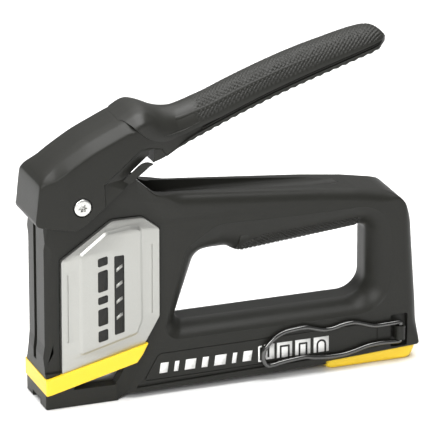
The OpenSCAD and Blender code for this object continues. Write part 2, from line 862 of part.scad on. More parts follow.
hook_x = body_l - hook_setback;
hook_lo = 11.2;
hook_hi = 21.8;
hook_margin = 3.4;
hook_y = -half_w - hook_wire_d / 2 - 0.3;

module bracket_box(g) {
    translate([hook_x - 4.5 + g, -half_w - 1, hook_lo - hook_margin + g])
        cube([9 - 2 * g, 5, hook_hi - hook_lo + 2 * (hook_margin - g)]);
}

module hook_bracket() color(soft_black) centred() {
    pin_l = 3.2;
    gap = hook_wire_d / 2 + free_gap;
    difference() {
        union() {
            // Back plate in the recess
            translate([hook_x - 4.5, -half_w + 2.6, hook_lo - hook_margin])
                cube([9, 1.4, hook_hi - hook_lo + 2 * hook_margin]);
            // Knuckle between the two ends of the wire
            translate([hook_x, hook_y, hook_lo + gap]) cylinder(d = 5, h = hook_hi - hook_lo - 2 * gap);
            translate([hook_x - 2.5, hook_y, hook_lo + gap]) cube([5, 5, hook_hi - hook_lo - 2 * gap]);
        }
        translate([hook_x, hook_y, hook_lo - 5])
            cylinder(d = hook_wire_d + 2 * run_gap, h = pin_l + gap + 5);
        translate([hook_x, hook_y, hook_hi - pin_l - gap])
            cylinder(d = hook_wire_d + 2 * run_gap, h = pin_l + gap + 5);
    }
}

// Bends of the hook's wire, from its upper end round its front and back: [distance from hinge, z]
hook_bends = [
    [0, hook_hi, 0], [-11, 20.7, 8], [-25.5, 26, 8], [-44, 21.6, 8], [-55, 26.6, 8], [-69, 23.2, 8],
    [-75.4, 18, 4], [-74, 8.3, 3], [-64, 8.6, 6], [-53, 10.6, 8], [-39, 7.2, 8], [-25, 8.8, 8],
    [-13, 12.6, 8], [0, hook_lo, 0]
];
module belt_hook() color(chrome) centred() {
    flat = rounded([for (b = hook_bends) [b.x, b.y, b.z]]);
    path = [for (p = flat) [hook_x + p.x, hook_y, p.y]];
    r = hook_wire_d / 2;
    pin_l = 3.2;
    wire(path, r, 10, [0, 1, 0]);
    // The wire's ends turn towards each other into the knuckle
    translate([hook_x, hook_y, hook_lo - r]) cylinder(r = r, h = pin_l + 2 * r);
    translate([hook_x, hook_y, hook_hi - pin_l - r]) cylinder(r = r, h = pin_l + 2 * r);
}

left_shell();
right_shell();
left_plate();
right_plate();
nose_band();
handle_pad();
chassis();
main_spring();
spring_cap();
hammer_bumper();
rocker_pin();
return_spring();
pivot_screws();
shell_screws();
magazine_channel();
hook_bracket();
lever_core();
lever_grip();
pivot_bushes();
push_roller();
roller_pin();
rocker();
hammer();
driver_blade();
staple_rail();
heel();
heel_latch();
pusher_rod();
rod_seat();
pusher();
pusher_spring();
belt_hook();
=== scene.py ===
import math

import bmesh
import bpy
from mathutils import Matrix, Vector
from mathutils.geometry import tessellate_polygon


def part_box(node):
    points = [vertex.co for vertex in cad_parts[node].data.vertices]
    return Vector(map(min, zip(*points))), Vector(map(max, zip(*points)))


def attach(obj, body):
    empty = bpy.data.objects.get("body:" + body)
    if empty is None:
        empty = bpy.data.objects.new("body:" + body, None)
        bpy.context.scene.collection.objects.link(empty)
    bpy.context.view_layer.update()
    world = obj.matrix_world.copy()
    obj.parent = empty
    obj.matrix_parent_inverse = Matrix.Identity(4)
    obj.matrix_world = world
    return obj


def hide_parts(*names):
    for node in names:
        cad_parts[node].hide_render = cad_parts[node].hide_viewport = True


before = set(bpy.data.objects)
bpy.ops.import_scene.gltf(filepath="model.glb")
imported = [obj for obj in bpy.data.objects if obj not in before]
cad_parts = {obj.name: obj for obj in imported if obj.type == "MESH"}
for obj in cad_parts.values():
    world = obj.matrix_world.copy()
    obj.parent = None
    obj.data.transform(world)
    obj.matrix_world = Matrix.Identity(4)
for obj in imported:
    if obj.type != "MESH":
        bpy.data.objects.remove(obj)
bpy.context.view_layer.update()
mm = 0.001
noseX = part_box("left_shell")[1].x - 199 * mm  # the nose face; every X below is counted from it, in mm
print("stage: frame loaded")


def at(x, y, z):
    return Vector((noseX + x * mm, y * mm, z * mm))


def smooth(a, b, x):
    t = min(1.0, max(0.0, (x - a) / (b - a)))
    return t * t * (3 - 2 * t)


def onLine(points, x):
    # height of a broken line at x
    if x <= points[0][0]:
        return points[0][1]
    for (x0, z0), (x1, z1) in zip(points, points[1:]):
        if x <= x1:
            return z0 + (z1 - z0) * (x - x0) / (x1 - x0)
    return points[-1][1]


def onCurve(points, x):
    # height at x of a smooth curve through the points
    xs = [p[0] for p in points]
    zs = [p[1] for p in points]
    if x <= xs[0]:
        return zs[0]
    if x >= xs[-1]:
        return zs[-1]
    i = max(k for k in range(len(xs) - 1) if xs[k] <= x)
    slopes = [(zs[k + 1] - zs[k]) / (xs[k + 1] - xs[k]) for k in range(len(xs) - 1)]

    def tangent(k):
        if k == 0 or k == len(xs) - 1:
            return slopes[min(k, len(slopes) - 1)]
        return (slopes[k - 1] + slopes[k]) / 2

    h = xs[i + 1] - xs[i]
    t = (x - xs[i]) / h
    a, b = tangent(i) * h, tangent(i + 1) * h
    return (zs[i] * (2 * t ** 3 - 3 * t ** 2 + 1) + a * (t ** 3 - 2 * t ** 2 + t)
            + zs[i + 1] * (3 * t ** 2 - 2 * t ** 3) + b * (t ** 3 - t ** 2))


def cornerArc(corners, i, stepAngle, steps=None):
    # points of one rounded corner, by angle or in a set number of steps
    x, z, r = corners[i]
    b = Vector((x, z))
    if r <= 0:
        return [b]
    u = (Vector(corners[i - 1][:2]) - b).normalized()
    v = (Vector(corners[(i + 1) % len(corners)][:2]) - b).normalized()
    half = math.acos(max(-1, min(1, u.dot(v)))) / 2
    hub = b + (u + v).normalized() * r / math.sin(half)
    p, q = b + u * r / math.tan(half) - hub, b + v * r / math.tan(half) - hub
    turn = math.atan2(p.x * q.y - p.y * q.x, p.dot(q))
    steps = steps or max(2, math.ceil(abs(math.degrees(turn)) / stepAngle))
    start = math.atan2(p.y, p.x)
    angles = [start + turn * k / steps for k in range(steps + 1)]
    return [hub + r * Vector((math.cos(a), math.sin(a))) for a in angles]


def rounded(corners, stepAngle=10, spacing=2.5):
    # corners are (x, z, radius); straight runs are cut to the spacing
    ring = []
    for i in range(len(corners)):
        ring += cornerArc(corners, i, stepAngle)
    full = []
    for i, p in enumerate(ring):
        q = ring[(i + 1) % len(ring)]
        cuts = max(1, round((q - p).length / spacing)) if spacing else 1
        full += [p.lerp(q, k / cuts) for k in range(cuts)]
    return full


def outwardNormals(ring):
    # unit normals of a counter-clockwise ring, pointing out
    normals = []
    for i in range(len(ring)):
        t = (ring[(i + 1) % len(ring)] - ring[i - 1]).normalized()
        normals.append(Vector((t.y, -t.x)))
    return normals


def insetRing(ring, normals, amounts):
    return [p - n * d for p, n, d in zip(ring, normals, amounts)]


def meshObject(name, verts, faces, smoothShade=True):
    mesh = bpy.data.meshes.new(name)
    mesh.from_pydata([tuple(v) for v in verts], [], faces)
    obj = bpy.data.objects.new(name, mesh)
    bpy.context.collection.objects.link(obj)
    bm = bmesh.new()
    bm.from_mesh(mesh)
    bmesh.ops.remove_doubles(bm, verts=bm.verts, dist=0.002 * mm)
    bmesh.ops.dissolve_degenerate(bm, edges=bm.edges, dist=0.001 * mm)
    bmesh.ops.recalc_face_normals(bm, faces=bm.faces)
    if bm.calc_volume(signed=True) < 0:
        bmesh.ops.reverse_faces(bm, faces=bm.faces)
    for f in bm.faces:
        f.smooth = smoothShade
    bm.to_mesh(mesh)
    bm.free()
    return obj


def lofted(name, loops, closeStart=True, closeEnd=True):
    # skin over rings that all have the same number of points
    n = len(loops[0])
    verts = [p for loop in loops for p in loop]
    faces = []
    for i in range(len(loops) - 1):
        for k in range(n):
            j = (k + 1) % n
            faces.append((i * n + k, i * n + j, (i + 1) * n + j, (i + 1) * n + k))
    for wanted, base in ((closeStart, 0), (closeEnd, (len(loops) - 1) * n)):
        if wanted:
            ring = [verts[base + k] for k in range(n)]
            faces += [tuple(base + t for t in tri) for tri in tessellate_polygon([ring])]
    return meshObject(name, verts, faces)


def prism(name, ring, y0, y1):
    # a side outline given thickness along Y
    low = [at(p[0], y0, p[1]) for p in ring]
    high = [at(p[0], y1, p[1]) for p in ring]
    return lofted(name, [low, high])


def block(name, lo, hi):
    ring = [(lo[0], lo[2]), (hi[0], lo[2]), (hi[0], hi[2]), (lo[0], hi[2])]
    return prism(name, ring, lo[1], hi[1])


def yRod(name, x, z, r, y0, y1, sides=48):
    ring = [(x + r * math.cos(math.tau * k / sides), z + r * math.sin(math.tau * k / sides))
            for k in range(sides)]
    return prism(name, ring, y0, y1)


def applied(obj):
    # bakes an object's modifiers into its mesh
    graph = bpy.context.evaluated_depsgraph_get()
    mesh = bpy.data.meshes.new_from_object(obj.evaluated_get(graph))
    obj.modifiers.clear()
    old = obj.data
    obj.data = mesh
    bpy.data.meshes.remove(old)
    return obj


def carve(obj, cutters, operation="DIFFERENCE"):
    for cutter in cutters:
        mod = obj.modifiers.new("carve", "BOOLEAN")
        mod.operation = operation
        mod.solver = "EXACT"
        mod.object = cutter
        applied(obj)
        bpy.data.objects.remove(cutter)
    return obj


def mirroredY(obj, name):
    copy = obj.copy()
    copy.data = obj.data.copy()
    copy.name = name
    for v in copy.data.vertices:
        v.co.y = -v.co.y
    copy.data.flip_normals()
    bpy.context.collection.objects.link(copy)
    return copy


def softEdges(obj, width, angle=32, segments=3, weld=False):
    if weld:
        mod = obj.modifiers.new("weld", "WELD")
        mod.merge_threshold = 0.01 * mm
    mod = obj.modifiers.new("edges", "BEVEL")
    mod.width = width * mm
    mod.segments = segments
    mod.limit_method = "ANGLE"
    mod.angle_limit = math.radians(angle)
    mod.use_clamp_overlap = True
    mod.harden_normals = False
    mod.miter_outer = "MITER_ARC"
    mod = obj.modifiers.new("normals", "WEIGHTED_NORMAL")
    mod.keep_sharp = True
    mod.weight = 80
    return obj


def shadeByAngle(obj, angle=35):
    # faces stay smooth and edges steeper than the angle stay sharp
    mesh = obj.data
    bm = bmesh.new()
    bm.from_mesh(mesh)
    for f in bm.faces:
        f.smooth = True
    for e in bm.edges:
        e.smooth = not (len(e.link_faces) == 2 and e.calc_face_angle(0) > math.radians(angle))
    bm.to_mesh(mesh)
    bm.free()
    return obj


class Wire:
    # wraps a socket, so that shader maths reads as plain expressions
    def __init__(self, tree, socket):
        self.tree = tree
        self.socket = socket

    def maths(self, operation, first, second):
        return self.tree.take("ShaderNodeMath", {"operation": operation}, {0: first, 1: second})

    def __add__(self, other):
        return self.maths("ADD", self, other)

    def __sub__(self, other):
        return self.maths("SUBTRACT", self, other)

    def __rsub__(self, other):
        return self.maths("SUBTRACT", other, self)

    def __mul__(self, other):
        return self.maths("MULTIPLY", self, other)

    __radd__ = __add__
    __rmul__ = __mul__


class Finish:
    # one material and its node tree
    def __init__(self, name):
        self.material = bpy.data.materials.new(name)
        self.material.use_nodes = True
        self.nodes = self.material.node_tree.nodes
        self.links = self.material.node_tree.links
        self.shader = self.nodes["Principled BSDF"]

    def feed(self, socket, value):
        if isinstance(value, Wire):
            self.links.new(value.socket, socket)
        else:
            socket.default_value = value

    def node(self, kind, settings, inputs):
        node = self.nodes.new(kind)
        for key, value in settings.items():
            setattr(node, key, value)
        for key, value in inputs.items():
            self.feed(node.inputs[key], value)
        return node

    def take(self, kind, settings, inputs, output=0):
        return Wire(self, self.node(kind, settings, inputs).outputs[output])

    def place(self):
        return self.take("ShaderNodeTexCoord", {}, {}, "Object")

    def noise(self, scale, detail=3.0, rough=0.55, vector=None):
        inputs = {"Scale": scale, "Detail": detail, "Roughness": rough,
                  "Vector": vector or self.place()}
        return self.take("ShaderNodeTexNoise", {}, inputs)

    def mixColour(self, factor, a, b):
        # sockets 6 and 7 are the two colours, and output 2 is the mixed one
        return self.take("ShaderNodeMix", {"data_type": "RGBA"}, {0: factor, 6: a, 7: b}, 2)

    def bump(self, height, strength, distance):
        return self.take("ShaderNodeBump", {}, {
            "Height": height, "Strength": strength, "Distance": distance})

    def set(self, **values):
        for key, value in values.items():
            self.feed(self.shader.inputs[key.replace("_", " ")], value)


def colour(r, g, b):
    return (r, g, b, 1.0)


def mouldedPlastic(name, look):
    # spark-textured plastic or rubber
    f = Finish(name)
    broad = f.noise(look["cloudScale"], 4)
    grain = f.noise(look["grainScale"], 2, 0.6)
    fine = f.noise(look["grainScale"] * 2.7, 1)
    base = f.mixColour(broad, look["dark"], look["light"])
    base = f.mixColour(grain * look["speckle"], base, look["fleck"])
    f.set(Base_Color=base)
    f.set(Roughness=look["roughness"] + (grain - 0.5) * 0.12 + (broad - 0.5) * 0.10)
    height = grain * 0.7 + fine * 0.3
    f.set(Normal=f.bump(height, look["bump"], 0.00012))
    f.set(Specular_IOR_Level=look["specular"])
    return f.material


def paintedMetal(name, look):
    f = Finish(name)
    broad = f.noise(35, 3)
    flake = f.noise(4200, 1)
    base = f.mixColour(broad, look["dark"], look["light"])
    base = f.mixColour(flake * 0.35, base, look["fleck"])
    f.set(Base_Color=base, Metallic=look["metallic"])
    f.set(Roughness=look["roughness"] + (flake - 0.5) * 0.12 + (broad - 0.5) * 0.06)
    f.set(Normal=f.bump(flake, 0.12, 0.00006))
    return f.material


def bareMetal(name, look):
    # drawn or polished metal with fine lines along one axis
    f = Finish(name)
    stretched = f.take("ShaderNodeMapping", {}, {"Vector": f.place(), "Scale": look["stretch"]})
    lines = f.noise(look["lineScale"], 3, 0.6, stretched)
    broad = f.noise(60, 3)
    base = f.mixColour(lines, look["dark"], look["light"])
    f.set(Base_Color=base, Metallic=1.0)
    f.set(Roughness=look["roughness"] + (lines - 0.5) * 0.14 + (broad - 0.5) * 0.08)
    f.set(Normal=f.bump(lines, look["bump"], 0.00005))
    return f.material


plasticLook = {
    "dark": colour(0.0105, 0.0105, 0.0086), "light": colour(0.0145, 0.0145, 0.0122),
    "fleck": colour(0.035, 0.035, 0.031), "speckle": 0.3, "cloudScale": 28, "grainScale": 1500,
    "roughness": 0.40, "bump": 0.3, "specular": 0.22,
}
rubberLook = {
    "dark": colour(0.011, 0.011, 0.009), "light": colour(0.015, 0.015, 0.0127),
    "fleck": colour(0.032, 0.032, 0.028), "speckle": 0.3, "cloudScale": 40, "grainScale": 2100,
    "roughness": 0.40, "bump": 0.2, "specular": 0.30,
}
yellowLook = {
    "dark": colour(0.86, 0.57, 0.012), "light": colour(0.90, 0.62, 0.020),
    "fleck": colour(0.92, 0.66, 0.05), "speckle": 0.25, "cloudScale": 30, "grainScale": 1300,
    "roughness": 0.36, "bump": 0.16, "specular": 0.5,
}
silverLook = {
    "dark": colour(0.33, 0.33, 0.31), "light": colour(0.39, 0.39, 0.37),
    "fleck": colour(0.58, 0.58, 0.55), "metallic": 0.85, "roughness": 0.34,
}
steelLook = {
    "dark": colour(0.42, 0.42, 0.41), "light": colour(0.58, 0.58, 0.57), "stretch": (1, 12, 12),
    "lineScale": 260, "roughness": 0.34, "bump": 0.2,
}
# the hook wire's base colour is painted dark to stand in for polished chrome reflecting dark surroundings; bare
# chrome would itself be bright
chromePaintedDarkReflectionLook = {
    "dark": colour(0.09, 0.09, 0.088), "light": colour(0.14, 0.14, 0.137), "stretch": (6, 6, 1),
    "lineScale": 320, "roughness": 0.12, "bump": 0.05,
}
zincLook = {
    "dark": colour(0.56, 0.56, 0.54), "light": colour(0.70, 0.70, 0.68), "stretch": (6, 6, 1),
    "lineScale": 300, "roughness": 0.30, "bump": 0.1,
}
springLook = {
    "dark": colour(0.22, 0.22, 0.22), "light": colour(0.36, 0.36, 0.35), "stretch": (1, 1, 1),
    "lineScale": 500, "roughness": 0.32, "bump": 0.15,
}
blackScrewLook = {
    "dark": colour(0.03, 0.03, 0.03), "light": colour(0.06, 0.06, 0.06), "stretch": (1, 1, 1),
    "lineScale": 600, "roughness": 0.38, "bump": 0.1,
}
whiteLook = {
    "dark": colour(0.82, 0.82, 0.80), "light": colour(0.90, 0.90, 0.88),
    "fleck": colour(0.62, 0.62, 0.60), "speckle": 0.3, "cloudScale": 60, "grainScale": 1500,
    "roughness": 0.45, "bump": 0.2, "specular": 0.4,
}
darkGapLook = dict(plasticLook, dark=colour(0.012, 0.012, 0.011), light=colour(0.018, 0.018, 0.016),
                   fleck=colour(0.03, 0.03, 0.03))

housingPlastic = mouldedPlastic("housing_plastic", plasticLook)
gripRubber = mouldedPlastic("grip_rubber", rubberLook)
yellowPlastic = mouldedPlastic("yellow_plastic", yellowLook)
silverPaint = paintedMetal("silver_paint", silverLook)
steelSheet = bareMetal("steel_sheet", steelLook)
brightSteel = bareMetal("bright_steel", zincLook)
# the wire's material carries painted reflection: a dark base colour in place of reflected dark surroundings
wirePaintedDarkReflection = bareMetal("polished_wire_painted_reflection", chromePaintedDarkReflectionLook)
springSteel = bareMetal("spring_steel", springLook)
blackScrew = bareMetal("black_screw", blackScrewLook)
whitePrint = mouldedPlastic("white_print", whiteLook)
darkPrint = mouldedPlastic("dark_print", darkGapLook)
print("stage: materials made")


def dress(obj, material, body=None):
    obj.data.materials.clear()
    obj.data.materials.append(material)
    if body:
        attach(obj, body)
    return obj


housing = {
    "length": 199.4, "halfWidth": 15.5, "noseTop": 119, "topRound": 5.6, "rearRound": 6, "edgeRound": 0.8,
    "heelX": 148.5, "heelTop": 5.0, "heelRise": 2.6, "noseProud": 1.2, "bottom": 2.7, "noseFront": 0.5,
    "noseInset": 1.6, "bevel": 4.3, "plateGap": 0.75, "plateDepth": 2.4, "panelGroove": 0.5,
    "screwHole": 3.15, "screwFloor": 12.4, "softEdge": 0.28,
    "screwSpots": [(55.5, 45.5), (70.5, 88), (66.5, 26), (119.5, 26), (187.75, 40.5), (186.75, 80.5)],
}
opening = {
    "x": 68.4, "rear": 172.8, "floor": 35.4, "roof": 74.1, "drop": 6.1, "lip": 103.5, "innerHalf": 5.0,
    "crease": 0.35, "flareTop": 85.6,
}
pivot = {"x": 17.8, "z": 106.3}  # axis of the lever's two screws


def housingOutline():
    h = housing
    rear, top = h["length"], h["noseTop"]
    return rounded([
        (-h["noseFront"], 33, 6), (-h["noseProud"], 27, 6), (-h["noseProud"], 0, 0.8),
        (36.5, 0, 1.5), (42, h["bottom"], 1.5),
        (h["heelX"], h["bottom"] + 0.8, 0.5), (h["heelX"], h["heelTop"], 0.4),
        (rear, h["heelTop"] + h["heelRise"], 1.5),
        (rear - 1.0, 30, 60), (rear - 3.0, 58, 60), (rear - 4.4, 76, 20),
        (rear - 9.4, 88.6, 14), (rear - 18.5, 92.2, 20), (rear - 34, 95.1, 26), (rear - 56, 97.9, 60),
        (80, 104.1, 60), (58, 106, 8),
        (46, 117, 8), (38, top, 4), (8, top, 7), (-h["noseFront"], 106, 4),
    ])


def flareShape(u):
    # share of the way out from the opening's wall, and share of the way to the side face
    a = math.pi / 2 * u
    return 0.5 * u + 0.5 * (1 - math.cos(a)), 0.5 * u + 0.5 * math.sin(a)


def openingRings():
    # the edge that goes through, and the wider line where the flare meets the side face
    o = opening
    low = o["roof"] - o["drop"]
    through = [(o["x"], o["floor"], 4), (o["rear"], o["floor"], 11), (o["rear"], o["roof"], 4),
               (o["lip"], low, 6), (o["lip"] - 6, low + 3.5, 6), (o["x"] + 12.8, low + 3.5, 8)]
    side = [(60.4, 29, 7), (183.0, 29, 17), (183.0, 86.0, 17),
            (130, opening["flareTop"], 20), (90, 86.6, 16), (73.5, 76, 10)]
    return evenRing(through), evenRing(side)


def evenRing(corners, perCorner=8, perRun=14):
    # a rounded ring with a set number of points on each arc and on each run
    points = []
    for i in range(len(corners)):
        points += cornerArc(corners, i, None, perCorner)
    full = []
    for i, p in enumerate(points):
        q = points[(i + 1) % len(points)]
        cuts = perRun if i % (perCorner + 1) == perCorner else 1
        full += [p.lerp(q, k / cuts) for k in range(cuts)]
    return full


def edgeRadius(p):
    # how far the side face rounds over into the outline at this point
    h = housing
    top = smooth(88, 93, p.y) * smooth(60, 72, p.x)
    rear = smooth(h["length"] - 9, h["length"] - 3, p.x) * smooth(8, 22, p.y)
    return h["edgeRound"] + max((h["topRound"] - h["edgeRound"]) * top,
                                (h["rearRound"] - h["edgeRound"]) * rear)


def housingHalf(name, side):
    # one half of the outer skin, side = -1 on the left and +1 on the right
    h = housing
    outline = housingOutline()
    normals = outwardNormals(outline)
    radii = [edgeRadius(p) for p in outline]
    depths = [0.0, 5.0, 9.0]
    loops = [[at(p.x, side * y, p.y) for p in outline] for y in depths]
    steps = 7
    for k in range(steps + 1):
        t = math.pi / 2 * k / steps
        ring = insetRing(outline, normals, [r * (1 - math.cos(t)) for r in radii])
        loops.append([at(p.x, side * (h["halfWidth"] - r + r * math.sin(t)), p.y)
                      for p, r in zip(ring, radii)])
    through, wide = openingRings()
    inner = opening["innerHalf"]
    holeLoops = [[at(p.x, side * y, p.y) for p in through] for y in (0.0, inner * 0.5, inner)]
    bend = 12
    for k in range(1, bend + 1):
        share, rise = flareShape(k / bend)
        y = inner + (h["halfWidth"] - opening["crease"] - inner) * rise
        holeLoops.append([at(a.x + (b.x - a.x) * share, side * y, a.y + (b.y - a.y) * share)
                          for a, b in zip(through, wide)])
    lip = outwardNormals(wide)
    holeLoops.append([at(p.x + n.x * 0.5, side * h["halfWidth"], p.y + n.y * 0.5) for p, n in zip(wide, lip)])
    verts, faces = [], []
    for group in (loops, holeLoops):
        base = len(verts)
        n = len(group[0])
        for loop in group:
            verts += loop
        for i in range(len(group) - 1):
            for k in range(n):
                j = (k + 1) % n
                faces.append((base + i * n + k, base + i * n + j,
                              base + (i + 1) * n + j, base + (i + 1) * n + k))
    # flat side face and the parting face, each with the opening left out
    firstHole = len(loops) * len(outline)
    for outer, hole in (((len(loops) - 1) * len(outline), firstHole + (len(holeLoops) - 1) * len(through)),
                        (0, firstHole)):
        outerIds = list(range(outer, outer + len(outline)))
        holeIds = list(range(hole, hole + len(through)))
        ids = outerIds + holeIds[::-1]
        flat = [[Vector((verts[i].x, verts[i].z, 0)) for i in outerIds],
                [Vector((verts[i].x, verts[i].z, 0)) for i in holeIds[::-1]]]
        faces += [tuple(ids[t] for t in tri) for tri in tessellate_polygon(flat)]
    return meshObject(name, verts, faces)


def noseWedge(side):
    # takes off the nose's front corner; it fades out at the band and narrows again under the lever's head
    cuts = [(17.0, 0.05, 0.05), (24, 3.6, 3.0), (34, 7.0, 3.5), (60, 7.3, 3.5), (84, 6.4, 3.5),
            (94, 2.4, 3.4), (125, 1.2, 3.2)]  # height, depth along X, depth along Y
    h = housing["halfWidth"]
    loops = []
    for z, dx, dy in cuts:
        front = -housing["noseFront"] - (housing["noseProud"] - housing["noseFront"]) * (1 - smooth(27, 33, z))
        a, b = Vector((front, h - dy)), Vector((front + dx, h))
        along = (b - a).normalized()
        p, q = a - along * 4, b + along * 4
        r = p + Vector((0, q.y - p.y + 2))
        loops.append([at(c.x, side * c.y, z) for c in (p, q, r)])
    return lofted("cut", loops)


def plateRing(grow=0.0):
    g = grow
    return rounded([(7.2 - g, 16.6 - g, 0), (50.5 + g, 28.2 - g, 0), (58.8 + g, 42.6 - g * 0.5, 3),
                    (58.8 + g, 89.3, 2.5), (50.3, 96 + g, 5), (34, 96.2 + g, 5), (7.4 - g, 78.3 + g * 0.5, 2)],
                   spacing=4)


def ringGroove(outline, width, y0, y1):
    # a narrow closed groove that follows an outline
    normals = outwardNormals(outline)
    outer = insetRing(outline, normals, [-width / 2] * len(outline))
    inner = insetRing(outline, normals, [width / 2] * len(outline))
    loops = [[at(p.x, y, p.y) for p in ring] for ring, y in
             ((outer, y0), (outer, y1), (inner, y1), (inner, y0), (outer, y0))]
    return lofted("cut", loops, False, False)


def sideCutters(side):
    # what is cut into one side face, on the left when side is -1
    h = housing["halfWidth"]

    def slab(ring, depth, out=4):
        a, b = sorted((side * (h - depth), side * (h + out)))
        return prism("cut", ring, a, b)

    cutters = []
    # the nose's side stands in a little, with a slanted strip that runs on down to the foot
    inset, wide = housing["noseInset"], housing["bevel"]
    noseRing = rounded([(-6, 19, 0), (34, 19, 0), (37.2, -1.5, 0), (39.6, -1.5, 0), (52, 25, 0), (59.6, 43, 3),
                        (59.6, 92, 4), (50, 104, 8), (44, 125, 0), (-6, 125, 0)], spacing=0)
    inner = [at(p.x, side * (h - inset), p.y) for p in noseRing]
    beyond = 3.0
    reach = beyond / inset
    slant = [Vector((p.x + (wide * (1 + reach) if p.x > 39 else 0), p.y)) for p in noseRing]
    outer = [at(p.x, side * (h + beyond), p.y) for p in slant]
    cutters.append(lofted("cut", [inner, outer]))
    cutters.append(noseWedge(side))
    # dark gap round the silver plate
    cutters.append(slab(plateRing(housing["plateGap"]), housing["plateDepth"]))
    # deep recess between the foot and the band
    cutters.append(prism("cut", [(13.6, 9.0), (36.2, 8.8), (41.5, 18.0), (40, 20.5), (13.6, 13)],
                         *sorted((side * 8, side * 22))))
    # panel line and the shadow groove above the lower lip
    panel = rounded([(50.4, 8.6, 1), (176, 9.6, 1), (176, 23, 1), (58.2, 22.2, 3)], spacing=5)
    cutters.append(ringGroove(panel, housing["panelGroove"], side * (h - 0.4), side * (h + 2)))
    grooveLine = [(46.5, 5.1), (100, 6.4), (147.8, 7.5), (147.8, 9.0), (100, 8.1), (47.3, 7.0)]
    inner = [at(x, side * (h - 1.1), z + (0.5 if i < 3 else 0)) for i, (x, z) in enumerate(grooveLine)]
    outer = [at(x, side * (h + 2), z - (0.9 if i < 3 else 0)) for i, (x, z) in enumerate(grooveLine)]
    cutters.append(lofted("cut", [inner, outer]))
    return cutters


def middleCutters():
    cutters = []
    # slot in the top for the lever's ears
    cutters.append(prism("cut", [(30, 84), (60, 90), (66.5, 99), (64, 112), (46, 124), (30, 124)], -8.6, 8.6))
    # trough in the deck that fades out to the rear
    trough = [(62, 95.2, 8.6), (72, 96.9, 8.2), (95, 96.9, 7.7), (120, 96.2, 7.0), (145, 95.4, 6.0),
              (158, 95.4, 4.6), (170, 97.2, 3.0)]  # X, floor height, half width
    loops = []
    for x, z, half in trough:
        ring = [at(x, half * math.cos(a), z + 3.2 + 3.2 * math.sin(a)) for a in
                [math.radians(180 + 15 * k) for k in range(13)]]
        loops.append(ring + [at(x, half + 1.6, z + 22), at(x, -half - 1.6, z + 22)])
    cutters.append(lofted("cut", loops))
    # hollow under the lever's head
    cutters.append(prism("cut", [(6, 62), (61, 62), (61, 100), (44, 115.5), (8, 115.5)], -11.3, 11.3))
    blocks = [((6.3, -8.2, -3), (185, 8.2, 18.7)),  # magazine tunnel
              ((184, -8.2, -3), (200, 8.2, 18.7)),  # its mouth at the rear
              ((4.6, -6.4, -3), (6.4, 6.4, 66)),  # the blade's way down
              ((-3, -0.4, 22), (0.6, 3.8, 112)),  # upright groove in the nose face
              ((-3, -6, -1), (0.9, 6, 3.2))]  # staple exit in the foot's front edge
    return cutters + [block("cut", low, high) for low, high in blocks]


def buildHousing():
    h = housing
    for name, side, node in (("housing_left", -1, "left_shell"), ("housing_right", 1, "right_shell")):
        shell = housingHalf(name, side)
        carve(shell, sideCutters(side) + middleCutters())
        if side > 0:
            for x, z in h["screwSpots"]:
                carve(shell, [yRod("cut", x, z, h["screwHole"], h["screwFloor"], 20)])
        else:
            # pocket for the belt hook's knuckle
            pocket = rounded([(183.4, 8.2, 1), (192.6, 8.2, 1), (192.6, 25.8, 1), (183.4, 25.8, 1)], spacing=0)
            carve(shell, [prism("cut", pocket, -20, -11.6)])
            carve(shell, [yRod("cut", pivot["x"], pivot["z"], 3.02, -20, -5)])
        shadeByAngle(shell, 30)
        softEdges(shell, h["softEdge"], 38, 2)
        dress(shell, housingPlastic, "body")
        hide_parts(node)


buildHousing()
print("stage: housing built")


plate = {"back": 13.4, "face": 15.9, "padFace": 17.0, "groove": 0.5, "grooveRound": 0.35}


def padRing(inset):
    ring = rounded([(16.3, 26.6, 2), (47.2, 34.6, 3), (50, 42, 5), (49.6, 91.5, 3.5), (43.5, 92.8, 3.5),
                    (30.4, 91.2, 5), (16.3, 80.6, 4)], stepAngle=10, spacing=3)
    return insetRing(ring, outwardNormals(ring), [inset] * len(ring))


def buildPlates():
    outline = plateRing(0)
    normals = outwardNormals(outline)
    low, high = plate["face"], plate["padFace"]
    profile = [(0, plate["back"]), (0, low - 0.45), (0.12, low - 0.15), (0.45, low)]
    loops = [[at(p.x, -y, p.y) for p in insetRing(outline, normals, [d] * len(outline))] for d, y in profile]
    left = lofted("side_plate_left", loops)
    # raised middle with a soft shoulder all round
    shoulder = [(0, low - 0.6), (0, low - 0.02), (0.2, low + 0.1), (1.35, high - 0.12), (1.7, high)]
    pad = lofted("pad", [[at(p.x, -y, p.y) for p in padRing(d)] for d, y in shoulder])
    carve(left, [pad], "UNION")
    r = plate["grooveRound"]
    for (x0, z0), (x1, z1) in (((10.1, 35), (10.9, 71)), ((54.2, 45), (55.0, 81.5))):
        ring = rounded([(x0, z0, r), (x1, z0, r), (x1, z1, r), (x0, z1, r)], stepAngle=30, spacing=0)
        carve(left, [prism("cut", ring, -20, -low + plate["groove"])])
    shadeByAngle(left, 40)
    right = mirroredY(left, "side_plate_right")
    for obj, node in ((left, "left_plate"), (right, "right_plate")):
        dress(obj, silverPaint, "body")
        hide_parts(node)


buildPlates()
print("stage: plates built")


band = {
    "half": 17.0, "front": -1.5, "length": 53.8, "thick": 2.6, "soft": 0.35, "corner": 0.8,
    "low": 8.1, "lowSlope": 12.0 / 48, "high": 16.7, "highSlope": 12.4 / 52,
}


def bandHeights(u):
    # lower and upper edge at a distance u mm back from the nose, along the side
    b = band
    return b["low"] + u * b["lowSlope"], b["high"] + u * b["highSlope"]


